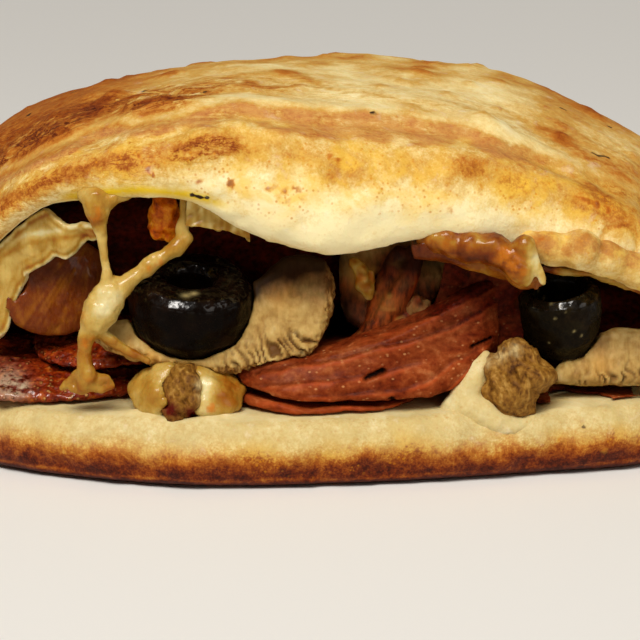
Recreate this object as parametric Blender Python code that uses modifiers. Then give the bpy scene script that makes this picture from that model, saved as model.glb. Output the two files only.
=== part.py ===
"""A baked stromboli: one sheet of dough folded over ham, pepperoni, mushrooms, olives, sausage and cheese.

The loaf lies on its flat underside with its open side towards -Y, +X to the right and +Z up.
Sizes are in millimetres and become metres when a mesh is made. Every piece of the filling is a
solid of its own that keeps a small gap to what it lies on.
"""
import math

import bmesh
import bpy
from mathutils import Matrix, Vector, noise
from mathutils.bvhtree import BVHTree

MM = 0.001

# The whole loaf.
HALF_WIDTH = 75.0
HALF_DEPTH = 56.0
CROWN_HEIGHT = 64.0
NOSE_HEIGHT = 16.0
PLAN_POWER_FRONT = 2.6
PLAN_POWER_BACK = 2.3
CROWN_POWER_LEFT = 2.6
CROWN_POWER_RIGHT = 2.35
HEEL_RADIUS = 12.0
HEEL_LIFT = 11.0

# The dough's walls and the pocket that the fold leaves.
BASE_THICKNESS = 11.8
BACK_WALL = 14.0
MOUTH_OPEN_TO = 55.0
MOUTH_SHUT_AT = 69.0
MOUTH_DEPTH = 5.0
CREASE_DEPTH = 3.0
POCKET_HEIGHT = 44.0

# Lumps of the lid's crust: their sizes and depths.
BROAD_LUMPS = (17.0, 1.5)
FINE_LUMPS = (7.0, 0.5)

# Stations across the loaf, how near the ends they reach, and points on each stretch of a section.
STATIONS = 38
LAST_TURN = math.radians(88.5)
END_CROWDING = 0.62
END_CAP = 0.9985
CURVE_STEPS = 2

# Space kept between two pieces that touch.
GAP = 0.35

# A cut that leaves less of a piece than this share, or leaves it open, is made again another way.
LEAST_LEFT = 0.3

# The ham: how far back its slices run as a share of the pocket, the height at which they lie there,
# and the folds above them.
# The folds keep the clearance from the dough within half a station and spoke of each point, and from
# the rest of the filling within a whole one.
HAM_BACK = 0.9
HAM_REST = 17.6
FOLDS_LEFT, FOLDS_RIGHT = -62.0, 62.0
FOLD_FRONT = -36.0
FOLD_MIDDLE, FOLD_HEART, FOLD_FALL = -8.0, 30.5, 6.0
FOLD_REACH = 60.0
FOLD_RUFFLE, RUFFLES_ROUND, RUFFLE_TWIST = 0.9, 8.0, 4.0
FOLD_END, FOLD_END_POWER = 0.99, 9.0
FOLD_STATIONS = 22
FOLD_SPOKES = 30
FOLD_CLEARANCE = 0.7
LOOK_NEAR = (-0.5, 0.0, 0.5)
LOOK_FAR = (-1.0, -0.5, 0.0, 0.5, 1.0)

# Pitted olives: radius, radius of the hole, height, turn in degrees, and centre.
OLIVE_SIDES = 20
OLIVES = {
    "olive_left": (10.2, 3.6, 12.0, (17.0, 5.0, 0.0), (-21.3, -43.2, 27.4)),
    "olive_right": (7.0, 4.0, 11.5, (16.0, -6.0, 0.0), (39.8, -39.4, 25.2)),
}

# Rough lumps: centre, half-lengths, turn in degrees, size of the bumps, and their depth as a share.
SMALL_LUMP = 4.55
SAUSAGE = {
    "sausage_left": ((-22.4, -50.4, 14.7), (3.5, 4.0, 4.6), (0.0, 8.0, 0.0), 4.0, 0.35),
    "sausage_right": ((31.4, -45.6, 15.0), (5.6, 5.0, 7.2), (0.0, 20.0, 0.0), 5.0, 0.3),
}
PEPPER = {
    "pepper_chunk": ((-24.9, -45.4, 42.6), (2.9, 2.2, 4.5), (0.0, -6.0, 0.0), 6.0, 0.2),
}
PEPPERONI = {
    "pepperoni_front": ((-47.0, -32.0, 14.9), (21.0, 15.0, 2.4), (8.0, 2.0, 0.0), 6.0, 0.05),
    "pepperoni_behind": ((-36.0, -30.0, 19.6), (13.0, 13.0, 1.9), (10.0, -4.0, 0.0), 6.0, 0.05),
}
CHEESE_MOUND = {
    "cheese_mound_left": ((-21.8, -46.8, 14.1), (9.4, 6.4, 5.0), (0.0, 0.0, 0.0), 6.0, 0.2),
}
CHEESE_SLICE = {
    "cheese_slice_browned": ((-44.0, -37.4, 30.2), (10.5, 1.9, 8.6), (-10.0, 8.0, 14.0), 7.0, 0.06),
}

# Slices of mushroom: outline (x, height along the slice), thickness, lean in degrees, and foot.
MUSHROOMS = {
    "mushroom_left": ([(-37.0, 4.6), (-31.0, 1.6), (-22.0, -0.6), (-10.0, -0.9), (-2.6, 1.0), (0.6, 6.0),
                       (2.4, 13.0), (0.4, 18.0), (-6.0, 18.0), (-13.0, 12.0), (-24.0, 8.4), (-34.0, 7.4)],
                      4.4, 26.0, (0.0, -47.4, 18.6)),
    "mushroom_middle": ([(4.4, 1.6), (9.5, 0.0), (16.0, 2.0), (20.6, 8.0), (21.4, 15.0), (13.0, 18.4),
                         (4.6, 15.0), (3.2, 8.0)],
                        4.0, 20.0, (0.0, -38.6, 22.6)),
    "mushroom_right": ([(38.4, 0.6), (46.0, 0.0), (56.0, 0.2), (61.5, 1.6), (60.0, 7.0), (53.0, 9.4),
                        (45.0, 8.2), (40.6, 4.4)],
                       4.6, 22.0, (0.0, -42.0, 14.2)),
}

# Heights of the slices of ham: the upper one's front edge and ridge, and the lower one's front edge.
UPPER_HAM_LIP = [(-13.0, 16.6), (-4.0, 15.0), (8.0, 14.6), (18.0, 15.0), (25.0, 18.2), (29.5, 23.6)]
UPPER_HAM_RIDGE = [(-13.0, 18.6), (-3.0, 19.4), (8.0, 22.4), (16.0, 25.8), (29.0, 32.0)]
LOWER_HAM_LIP = [(-12.0, 14.2), (0.0, 12.6), (14.0, 13.0)]
HAM_ON_BASE = 13.8
LOWER_HAM_RIGHT = 15.5
UPPER_HAM_LEFT, UPPER_HAM_RIGHT, UPPER_HAM_EDGE = -13.0, 29.5, 2.2
UPPER_HAM_COLUMNS, UPPER_HAM_ROWS = 15, 8
UNDER_HAM, UNDER_HAM_RIGHT = 15.4, 12.8
RIGHT_HAM_LEFT, RIGHT_HAM_RIGHT = 34.5, 61.0
HAM_FLARE = 5.0
CORNER_BACK = 6.0

# Melted cheese: the frilled skin at the left, then beads (x, y, z, radius) along each string and drip.
SKIN_LEFT, SKIN_RIGHT, SKIN_THICKNESS = -57.0, -36.0, 1.3
SKIN_FOOT = [(-57.0, 20.0), (-52.0, 22.6), (-50.2, 27.0), (-48.6, 32.2), (-45.0, 34.4), (-43.0, 36.0),
             (-40.6, 35.6), (-38.6, 38.0), (-36.0, 39.4)]
KNOT = (-33.0, -49.4, 31.0, 1.8)
STRINGS = [
    [(-37.0, -48.0, 46.6, 1.8), (-35.6, -48.6, 43.2, 1.6), (-34.6, -49.4, 38.6, 1.1),
     (-34.0, -49.8, 34.0, 1.0), KNOT],
    [(-31.4, -48.2, 46.8, 1.6), (-33.6, -48.8, 43.0, 1.4), (-34.5, -49.4, 38.6, 1.1)],
    [KNOT, (-33.8, -48.8, 28.2, 3.1), (-36.2, -48.0, 25.0, 2.3), (-38.2, -47.4, 22.8, 1.5),
     (-38.0, -46.6, 19.2, 1.3), (-37.6, -46.6, 17.0, 2.4)],
    [(-22.0, -48.8, 39.8, 1.3), (-24.6, -49.6, 37.2, 1.2), (-28.0, -50.2, 34.6, 1.0),
     (-31.4, -50.0, 32.0, 1.2), KNOT],
    [(-19.6, -48.0, 45.0, 2.2), (-21.0, -48.4, 42.2, 1.8), (-22.0, -48.8, 39.8, 1.3)],
]
DRIPS = [
    [(28.6, -47.6, 36.0, 2.0), (30.6, -48.4, 34.4, 1.8), (32.4, -48.8, 33.0, 2.2)],
    [(33.0, -47.4, 36.4, 1.0), (35.0, -47.8, 34.0, 0.7), (36.2, -47.8, 31.8, 0.9)],
]
LAYER_LEFT, LAYER_PITCH, LAYER_COLUMNS = 16.0, 2.8, 16
LAYER_BACK, LAYER_ROW_PITCH, LAYER_BEAD = 4.0, 4.0, 1.7
STRING_VOXEL, LAYER_VOXEL = 0.5, 0.9
STRING_FACES, LAYER_FACES = 640, 560

# The dips that the two pieces of sausage press into the front of the base: place, depth and spread.
LEFT_DIP = (-22.0, 1.6, 6.0)
RIGHT_DIP = (30.0, 3.2, 5.5)

# Where the front of the loaf stands forward of, or behind, its plain oval.
FRONT_WAVE = [(-60.0, 0.0), (-40.0, -0.6), (-20.0, -1.8), (5.0, 0.4), (36.0, 3.2), (58.0, 0.0)]

# Height of the lid's lower lip across the mouth, of the ridge above it, and of the step above that.
LIP_HEIGHT = [(-62.0, 29.0), (-53.0, 37.4), (-42.0, 45.2), (-21.0, 46.8), (-15.0, 42.6), (3.0, 37.3),
              (17.0, 39.8), (30.0, 36.0), (46.0, 33.4), (54.0, 30.4), (64.0, 26.0)]
RIDGE_HEIGHT = [(-62.0, 38.0), (-53.0, 46.4), (-37.0, 54.6), (-13.0, 58.6), (4.0, 55.0),
                (24.0, 53.8), (39.0, 49.0), (53.0, 43.0), (62.0, 36.0)]
STEP_RISE = [(-60.0, 0.8), (-30.0, 1.2), (-8.0, 2.4), (6.0, 4.6), (24.0, 2.8), (45.0, 1.4), (60.0, 0.8)]


# ---------------------------------------------------------------- helpers

def smooth_through(points):
    """Make a function that runs smoothly through (place, value) points and stays level beyond them."""
    places = [p[0] for p in points]
    values = [p[1] for p in points]
    slopes = [0.0] * len(points)
    for i in range(1, len(points) - 1):
        before = (values[i] - values[i - 1]) / (places[i] - places[i - 1])
        after = (values[i + 1] - values[i]) / (places[i + 1] - places[i])
        if before * after > 0.0:
            slopes[i] = 2.0 * before * after / (before + after)

    def value_at(place):
        if place <= places[0]:
            return values[0]
        if place >= places[-1]:
            return values[-1]
        i = 0
        while place > places[i + 1]:
            i += 1
        span = places[i + 1] - places[i]
        t = (place - places[i]) / span
        start = (1 + 2 * t) * (1 - t) ** 2 * values[i] + t * (1 - t) ** 2 * span * slopes[i]
        end = t * t * (3 - 2 * t) * values[i + 1] + t * t * (t - 1) * span * slopes[i + 1]
        return start + end

    return value_at


def smoothstep(start, end, value):
    """Go from 0 at start to 1 at end, level at both."""
    t = min(1.0, max(0.0, (value - start) / (end - start)))
    return t * t * (3.0 - 2.0 * t)


def mix(a, b, t):
    """Go from a to b as t goes from 0 to 1."""
    return a + (b - a) * t


def oval(ratio, power):
    """Half-height of a superellipse of half-width 1 at a place between -1 and 1."""
    return max(0.0, 1.0 - abs(ratio) ** power) ** (1.0 / power)


def rough(point, size, depth, layer=0.0):
    """An uneven offset of up to about depth, whose lumps are about size across."""
    return depth * noise.noise(Vector((point[0] / size, point[1] / size, point[2] / size + layer)))


def round_curve(points, steps):
    """A closed curve through the points, with steps points on each stretch."""
    count = len(points)
    result = []
    for i in range(count):
        before, here = points[i - 1], points[i]
        after, beyond = points[(i + 1) % count], points[(i + 2) % count]
        for s in range(steps):
            t = s / steps
            result.append(tuple(
                0.5 * (2 * here[k] + (after[k] - before[k]) * t
                       + (2 * before[k] - 5 * here[k] + 4 * after[k] - beyond[k]) * t * t
                       + (3 * here[k] - before[k] - 3 * after[k] + beyond[k]) * t ** 3)
                for k in range(len(here))))
    return result


def material(name, colour, roughness):
    """A plain finish of one colour."""
    made = bpy.data.materials.new(name)
    made.use_nodes = True
    shader = made.node_tree.nodes["Principled BSDF"]
    shader.inputs["Base Color"].default_value = (*colour, 1.0)
    shader.inputs["Roughness"].default_value = roughness
    shader.inputs["Metallic"].default_value = 0.0
    made.diffuse_color = (*colour, 1.0)
    return made


def collection(name):
    """A collection of this scene."""
    made = bpy.data.collections.new(name)
    bpy.context.scene.collection.children.link(made)
    return made


def add_piece(name, bm, finish, group):
    """Turn a bmesh in millimetres into an object in metres."""
    bmesh.ops.scale(bm, vec=(MM, MM, MM), verts=bm.verts)
    bmesh.ops.recalc_face_normals(bm, faces=bm.faces)
    mesh = bpy.data.meshes.new(name)
    bm.to_mesh(mesh)
    bm.free()
    mesh.shade_smooth()
    piece = bpy.data.objects.new(name, mesh)
    piece.data.materials.append(finish)
    group.objects.link(piece)
    return piece


def loft(rings):
    """Join rings of equally many points in order and close both ends."""
    bm = bmesh.new()
    made = [[bm.verts.new(point) for point in ring] for ring in rings]
    for ring, beyond in zip(made, made[1:]):
        for i in range(len(ring)):
            bm.faces.new((ring[i - 1], ring[i], beyond[i], beyond[i - 1]))
    bm.faces.new(made[0])
    bm.faces.new(reversed(made[-1]))
    bmesh.ops.triangulate(bm, faces=bm.faces)
    return bm


def sheet(place, across, along, thickness):
    """A thin wavy slab: place(u, v) gives its middle for u and v from 0 to 1."""
    bm = bmesh.new()
    bmesh.ops.create_grid(bm, x_segments=across, y_segments=along, size=0.5)
    for vert in bm.verts:
        vert.co = Vector(place(vert.co.x + 0.5, vert.co.y + 0.5))
    bmesh.ops.triangulate(bm, faces=bm.faces)
    bmesh.ops.recalc_face_normals(bm, faces=bm.faces)
    faces = list(bm.faces)
    bmesh.ops.solidify(bm, geom=faces, thickness=thickness)
    return bm


def lump(centre, radii, detail, lumps, depth, layer):
    """An uneven lump: a ball of the given radii with a rough surface."""
    bm = bmesh.new()
    bmesh.ops.create_icosphere(bm, subdivisions=detail, radius=1.0)
    for vert in bm.verts:
        swell = 1.0 + rough(vert.co * 10.0, lumps, depth, layer)
        vert.co = Vector([vert.co[k] * radii[k] * swell + centre[k] for k in range(3)])
    return bm


def turned(profile, steps):
    """A closed profile of (radius, height) points turned once round the Z axis."""
    bm = bmesh.new()
    verts = [bm.verts.new((radius, 0.0, height)) for radius, height in profile]
    edges = [bm.edges.new((verts[i - 1], verts[i])) for i in range(len(verts))]
    bmesh.ops.spin(bm, geom=verts + edges, cent=(0, 0, 0), axis=(0, 0, 1), dvec=(0, 0, 0),
                   angle=2 * math.pi, steps=steps, use_merge=True, use_normal_flip=False,
                   use_duplicate=False)
    bmesh.ops.remove_doubles(bm, verts=bm.verts, dist=0.001)
    bmesh.ops.triangulate(bm, faces=bm.faces)
    return bm


def bring(bm, turn, centre):
    """Turn a bmesh by XYZ angles in degrees and bring it to its place."""
    for angle, axis in zip(turn, "XYZ"):
        bmesh.ops.rotate(bm, verts=bm.verts, cent=(0, 0, 0),
                         matrix=Matrix.Rotation(math.radians(angle), 3, axis))
    bmesh.ops.translate(bm, verts=bm.verts, vec=centre)
    return bm


def settled(piece):
    """Give the piece the mesh that its modifiers make, and clear them."""
    depsgraph = bpy.context.evaluated_depsgraph_get()
    mesh = bpy.data.meshes.new_from_object(piece.evaluated_get(depsgraph))
    old = piece.data
    piece.modifiers.clear()
    piece.data = mesh
    mesh.name = piece.name
    if old.users == 0:
        bpy.data.meshes.remove(old)


def keep_largest_body(piece):
    """Drop the loose scraps that a cut leaves."""
    bm = bmesh.new()
    bm.from_mesh(piece.data)
    waiting = set(bm.verts)
    largest = set()
    while waiting:
        body = set()
        edge_of_body = [waiting.pop()]
        while edge_of_body:
            vert = edge_of_body.pop()
            body.add(vert)
            for edge in vert.link_edges:
                other = edge.other_vert(vert)
                if other in waiting:
                    waiting.discard(other)
                    edge_of_body.append(other)
        if len(body) > len(largest):
            largest = body
    scraps = [vert for vert in bm.verts if vert not in largest]
    bmesh.ops.delete(bm, geom=scraps, context="VERTS")
    bmesh.ops.triangulate(bm, faces=bm.faces)
    bm.to_mesh(piece.data)
    bm.free()


def box_of(piece):
    """The lowest and highest corners of a piece."""
    corners = [vert.co for vert in piece.data.vertices]
    low = [min(c[k] for c in corners) for k in range(3)]
    high = [max(c[k] for c in corners) for k in range(3)]
    return low, high


def surface_tree(pieces):
    """The faces of several pieces, in millimetres, to find what meets or lies next to them."""
    points, faces = [], []
    for piece in pieces:
        first = len(points)
        points.extend(vert.co / MM for vert in piece.data.vertices)
        faces.extend([first + index for index in face.vertices] for face in piece.data.polygons)
    return BVHTree.FromPolygons(points, faces)


def grown_copy(piece, group):
    """A copy of a piece that is larger by the gap all round, to cut its neighbours with."""
    bm = bmesh.new()
    bm.from_mesh(piece.data)
    bm.normal_update()
    for vert in bm.verts:
        vert.co += vert.normal * GAP * MM
    mesh = bpy.data.meshes.new(piece.name + "_room")
    bm.to_mesh(mesh)
    bm.free()
    cutter = bpy.data.objects.new(mesh.name, mesh)
    cutter.hide_render = True
    cutter.display_type = "WIRE"
    group.objects.link(cutter)
    return cutter


def volume_if_closed(piece):
    """The volume of a piece, or zero where its surface isn't closed."""
    bm = bmesh.new()
    bm.from_mesh(piece.data)
    closed = all(len(edge.link_faces) == 2 for edge in bm.edges)
    volume = bm.calc_volume(signed=True) if closed else 0.0
    bm.free()
    return volume


def cut_with(piece, cutter, solver):
    """Cut a piece with another and keep what remains."""
    cut = piece.modifiers.new("room for " + cutter.name, "BOOLEAN")
    cut.operation = "DIFFERENCE"
    cut.object = cutter
    cut.solver = solver
    settled(piece)


def fit_round(piece, neighbours, cutters):
    """Cut a piece back wherever it would come closer than the gap to an earlier one."""
    for other in neighbours:
        cutter = grown_copy(other, cutters)
        if surface_tree([piece]).overlap(surface_tree([cutter])):
            whole = piece.data.copy()
            volume = volume_if_closed(piece)
            cut_with(piece, cutter, "EXACT")
            if volume_if_closed(piece) < LEAST_LEFT * volume:
                piece.data = whole
                cut_with(piece, cutter, "MANIFOLD")
        mesh = cutter.data
        bpy.data.objects.remove(cutter)
        bpy.data.meshes.remove(mesh)
    keep_largest_body(piece)


# ---------------------------------------------------------------- dough

front_wave = smooth_through(FRONT_WAVE)
lip_height = smooth_through(LIP_HEIGHT)
ridge_height = smooth_through(RIDGE_HEIGHT)
step_rise = smooth_through(STEP_RISE)
upper_ham_lip = smooth_through(UPPER_HAM_LIP)
upper_ham_ridge = smooth_through(UPPER_HAM_RIDGE)
lower_ham_lip = smooth_through(LOWER_HAM_LIP)
skin_foot = smooth_through(SKIN_FOOT)


def front_at(x):
    """How far forward the loaf reaches."""
    ends = oval(x / HALF_WIDTH, PLAN_POWER_FRONT)
    return -HALF_DEPTH * ends + front_wave(x) * smoothstep(0.0, 0.4, ends)


def back_at(x):
    """How far back the loaf reaches."""
    return HALF_DEPTH * oval(x / HALF_WIDTH, PLAN_POWER_BACK)


def top_at(x):
    """Height of the loaf's back ridge."""
    power = CROWN_POWER_LEFT if x < 0.0 else CROWN_POWER_RIGHT
    return NOSE_HEIGHT + (CROWN_HEIGHT - NOSE_HEIGHT) * oval(x / HALF_WIDTH, power)


def heel_at(x):
    """Height of the underside, which is flat but for its rounded ends."""
    past = max(0.0, abs(x) - (HALF_WIDTH - HEEL_RADIUS)) / HEEL_RADIUS
    return HEEL_LIFT * (1.0 - math.sqrt(max(0.0, 1.0 - past * past)))


def openness(x):
    """1 across the mouth, 0 where the fold is shut."""
    return 1.0 - smoothstep(MOUTH_OPEN_TO, MOUTH_SHUT_AT, abs(x))


def dip_at(x):
    """How far the sausage presses the edge of the base down."""
    return sum(depth * math.exp(-((x - place) / spread) ** 2)
               for place, depth, spread in (LEFT_DIP, RIGHT_DIP))


def dough_section(x):
    """Corner points (y, z) round the folded dough at x: underside, base, pocket, lid and back."""
    front, back = front_at(x), back_at(x)
    low, top = heel_at(x), top_at(x)
    height = top - low
    w = min(1.0, (back - front) / 70.0)
    h = min(1.0, height / 40.0)
    mouth = openness(x)
    base = mix(low + 0.40 * height, BASE_THICKNESS - dip_at(x), mouth)
    lip = mix(low + 0.47 * height, lip_height(x), mouth)
    ridge = mix(low + 0.76 * height, ridge_height(x), mouth)
    step = ridge + mix(0.05 * height, step_rise(x), mouth)
    edge = front + mix(1.6 * w, MOUTH_DEPTH, mouth)
    deep = mix(front + CREASE_DEPTH * w, back - BACK_WALL, mouth)
    roof = mix(lip, max(lip + 1.0, POCKET_HEIGHT), mouth)
    room = deep - edge
    face = ridge - lip
    underside = [
        (back - 9.0 * w, low),
        (0.5 * (front + back), low),
        (front + 6.0 * w, low),
    ]
    front_of_base = [
        (front + 2.0 * w, low + 1.8 * h),
        (front, mix(low, base, 0.52)),
        (front + 1.2 * w, mix(low, base, 0.85)),
        (edge, base),
    ]
    pocket = [
        (edge + 0.2 * room, base - 0.3 * h),
        (edge + 0.6 * room, base - 0.6 * h),
        (edge + 0.94 * room, base - 0.2 * h),
        (deep, mix(base, roof, 0.4)),
        (edge + 0.88 * room, mix(base, roof, 0.78)),
        (edge + 0.5 * room, roof),
        (edge + 0.2 * room, mix(lip, roof, 0.5) + 1.2 * mouth),
        (edge + mix(0.1 * room, 3.6, mouth), lip + 0.8 * h * mouth),
    ]
    lip_of_lid = [
        (edge, lip),
        (front + mix(0.9 * w, 2.6, mouth), lip + 0.12 * face),
        (front + 1.2 * w, lip + 0.4 * face),
        (front + 2.0 * w, lip + 0.72 * face),
        (front + 4.6 * w, ridge),
        (front + 9.0 * w, mix(ridge, step, 0.35)),
    ]
    lid = [
        (front + 12.6 * w, step - 0.2 * h),
        (front + 14.2 * w, step + 0.7 * h),
        (mix(front, back, 0.32), mix(step, top, 0.66)),
        (mix(front, back, 0.50), top),
    ]
    back_of_loaf = [
        (mix(front, back, 0.70), mix(low, top, 0.975)),
        (mix(front, back, 0.88), mix(low, top, 0.80)),
        (back - 1.6 * w, mix(low, top, 0.54)),
        (back, mix(low, top, 0.30)),
        (back - 2.6 * w, low + 0.08 * height),
    ]
    return underside + front_of_base + pocket + lip_of_lid + lid + back_of_loaf


def station_at(i):
    """Place of a section: the sections crowd towards the loaf's rounded ends."""
    turn = mix(-LAST_TURN, LAST_TURN, i / (STATIONS - 1))
    spread = mix(turn / math.radians(90.0), math.sin(turn), END_CROWDING)
    furthest = mix(LAST_TURN / math.radians(90.0), math.sin(LAST_TURN), END_CROWDING)
    return END_CAP * HALF_WIDTH * spread / furthest


def make_dough(finish, group):
    """The folded sheet of dough: sections across the loaf, closed at both ends."""
    rings = []
    for i in range(STATIONS):
        x = station_at(i)
        low = heel_at(x)
        ring = []
        for y, z in round_curve(dough_section(x), CURVE_STEPS):
            z = max(z, low)
            outer = smoothstep(2.0, 9.0, z - low) * smoothstep(0.0, 8.0, abs(y - front_at(x)))
            swell = rough((x, y, z), *BROAD_LUMPS) + rough((x, y, z), *FINE_LUMPS)
            ring.append((x, y, z + swell * outer * smoothstep(step_level(x), step_level(x) + 3.0, z)))
        rings.append(ring)
    return add_piece("dough", loft(rings), finish, group)


def step_level(x):
    """Height above which the lid's crust is uneven."""
    return mix(heel_at(x), ridge_height(x), openness(x)) + 1.0


# ---------------------------------------------------------------- filling

def inner_front(x):
    """Where the pocket's mouth begins behind the lips."""
    return front_at(x) + MOUTH_DEPTH


def make_olive(name, size, finish, group):
    """A piece of pitted olive: a thick ring, flat where it was cut and rounded below."""
    radius, hole, height, turn, centre = size
    top, foot = 0.5 * height, -0.5 * height
    profile = [(hole, foot + 0.8), (hole, 0.0), (hole, top - 1.2), (hole + 1.0, top), (radius - 1.6, top),
               (radius - 0.2, top - 1.4), (radius, 0.1 * height), (0.93 * radius, -0.22 * height),
               (0.74 * radius, -0.42 * height), (mix(hole, radius, 0.42), foot)]
    bm = bring(turned(profile, OLIVE_SIDES), turn, centre)
    return add_piece(name, bm, finish, group)


def make_lump(name, size, finish, group):
    """A rough lump, turned and brought to its place; a small one has fewer faces."""
    centre, radii, turn, lumps, depth = size
    layer = float(sum(map(ord, name)) % 50)
    detail = 3 if max(radii) > SMALL_LUMP else 2
    bm = lump((0.0, 0.0, 0.0), radii, detail, lumps, depth, layer)
    return add_piece(name, bring(bm, turn, centre), finish, group)


def make_slice(name, size, finish, group):
    """A flat slice of its outline with rounded edges, leaning back from its foot."""
    outline, thickness, lean, foot = size
    bm = bmesh.new()
    verts = [bm.verts.new((x, -0.5 * thickness, z)) for x, z in round_curve(outline, 2)]
    face = bm.faces.new(verts)
    pulled = bmesh.ops.extrude_face_region(bm, geom=[face])
    moved = [item for item in pulled["geom"] if isinstance(item, bmesh.types.BMVert)]
    bmesh.ops.translate(bm, verts=moved, vec=(0.0, thickness, 0.0))
    bmesh.ops.recalc_face_normals(bm, faces=bm.faces)
    rims = [edge for edge in bm.edges if len(edge.link_faces) == 2 and edge.calc_face_angle() > 1.0
            and abs(edge.verts[0].co.y - edge.verts[1].co.y) < 0.01]
    bmesh.ops.bevel(bm, geom=rims, offset=0.2 * thickness, affect="EDGES", segments=1, profile=0.5,
                    material=-1, clamp_overlap=True)
    bmesh.ops.triangulate(bm, faces=bm.faces)
    return add_piece(name, bring(bm, (-lean, 0.0, 0.0), foot), finish, group)


def make_melt(name, chains, voxel, keep, finish, group):
    """Melted cheese: chains of (x, y, z, radius) beads run together into one skin."""
    bm = bmesh.new()
    for chain in chains:
        for here, beyond in zip(chain, chain[1:]):
            reach = math.dist(here[:3], beyond[:3])
            count = max(1, math.ceil(reach / (0.6 * min(here[3], beyond[3]))))
            for s in range(count + 1):
                x, y, z, radius = (mix(here[k], beyond[k], s / count) for k in range(4))
                place = Matrix.Translation((x, y, z))
                bmesh.ops.create_icosphere(bm, subdivisions=2, radius=radius, matrix=place)
    melt = add_piece(name, bm, finish, group)
    skin = melt.modifiers.new("one skin", "REMESH")
    skin.mode = "VOXEL"
    skin.voxel_size = voxel * MM
    settled(melt)
    thin = melt.modifiers.new("fewer faces", "DECIMATE")
    thin.ratio = keep / max(keep, len(melt.data.polygons) * 2)
    settled(melt)
    melt.data.materials.clear()
    melt.data.materials.append(finish)
    keep_largest_body(melt)
    melt.data.shade_smooth()
    return melt


def upper_ham_level(x, v):
    """The upper slice rises from the edge of the base to a ridge, then sinks towards the back."""
    rise = smoothstep(0.0, 0.16, v)
    fall = smoothstep(0.2, 0.6, v)
    return mix(mix(upper_ham_lip(x), upper_ham_ridge(x), rise), HAM_REST, fall)


def back_of_ham(x):
    """How far back the slices of ham run."""
    return mix(inner_front(x), back_at(x) - BACK_WALL, HAM_BACK)


def make_ham_slice(name, left, right, overhang, level, thickness, columns, rows, finish, group):
    """A thin slice of ham running back through the food; level(x, v) is its height, front to back."""
    def place(u, v):
        x = mix(left, right, u)
        y = mix(inner_front(x) - overhang, back_of_ham(x), v ** 1.6)
        y += (2.0 * u - 1.0) ** 4 * CORNER_BACK * (1.0 - v)
        return (x, y + rough((x, y, 0.0), 6.0, 0.7), level(x, v) + rough((x, y, 0.0), 9.0, 0.9, 3.0))
    return add_piece(name, sheet(place, columns, rows, thickness), finish, group)


def under_upper_ham(x, v):
    """The upper slice is folded down under its front edge, onto the lower slice and the base beside it."""
    rest = mix(UNDER_HAM, UNDER_HAM_RIGHT, smoothstep(LOWER_HAM_RIGHT + 1.0, LOWER_HAM_RIGHT + 5.0, x))
    return mix(upper_ham_lip(x) - 0.5 * UPPER_HAM_EDGE, rest, smoothstep(0.0, 0.3, v))


def make_folded_ham(name, finish, group):
    """A slice of ham folded up: its top rises from the edge of the base, its underside lies flat."""
    rings = []
    for u in [c / UPPER_HAM_COLUMNS for c in range(UPPER_HAM_COLUMNS + 1)]:
        above, below = [], []
        for v in [r / UPPER_HAM_ROWS for r in range(UPPER_HAM_ROWS + 1)]:
            x = mix(UPPER_HAM_LEFT, UPPER_HAM_RIGHT, u) - HAM_FLARE * (1.0 - u) * smoothstep(0.05, 0.4, v)
            y = mix(inner_front(x) - 1.8, back_of_ham(x), v ** 1.6)
            y += (2.0 * u - 1.0) ** 4 * CORNER_BACK * (1.0 - v)
            y += rough((x, y, 0.0), 6.0, 0.7)
            top = upper_ham_level(x, v) + 0.5 * UPPER_HAM_EDGE + rough((x, y, 0.0), 9.0, 0.9, 3.0)
            above.append((x, y, top))
            below.append((x, y, under_upper_ham(x, v)))
        nose = (above[0][0], above[0][1] - 0.4, 0.5 * (above[0][2] + below[0][2]))
        rings.append([nose] + above + below[::-1])
    return add_piece(name, loft(rings), finish, group)


def make_ham(finish, group):
    """Three slices of ham that show in the mouth and run back through the food."""
    lower = make_ham_slice("ham_slice_lower", -12.5, LOWER_HAM_RIGHT, 1.4,
                           lambda x, v: mix(lower_ham_lip(x), HAM_ON_BASE, v), 1.5, 10, 7, finish, group)
    upper = make_folded_ham("ham_slice_upper", finish, group)
    right = make_ham_slice("ham_slice_right", RIGHT_HAM_LEFT, RIGHT_HAM_RIGHT, 1.2,
                           lambda x, v: mix(12.0, HAM_ON_BASE, v), 1.5, 8, 6, finish, group)
    return lower, upper, right


def room_from(tree, start, angle, furthest, looks):
    """How far one can go from start before anything on the way, or a look aside from it, is too near."""
    room = furthest
    for aside in looks:
        beside = start + Vector((aside * (FOLDS_RIGHT - FOLDS_LEFT) / (FOLD_STATIONS - 1), 0.0, 0.0))
        for turn in looks:
            turned_by = angle + turn * 2.0 * math.pi / FOLD_SPOKES
            way = Vector((0.0, math.cos(turned_by), math.sin(turned_by)))
            met, _, _, distance = tree.ray_cast(beside, way, furthest + FOLD_CLEARANCE)
            if met is not None:
                room = min(room, distance - FOLD_CLEARANCE)
    return max(0.0, room)


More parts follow.
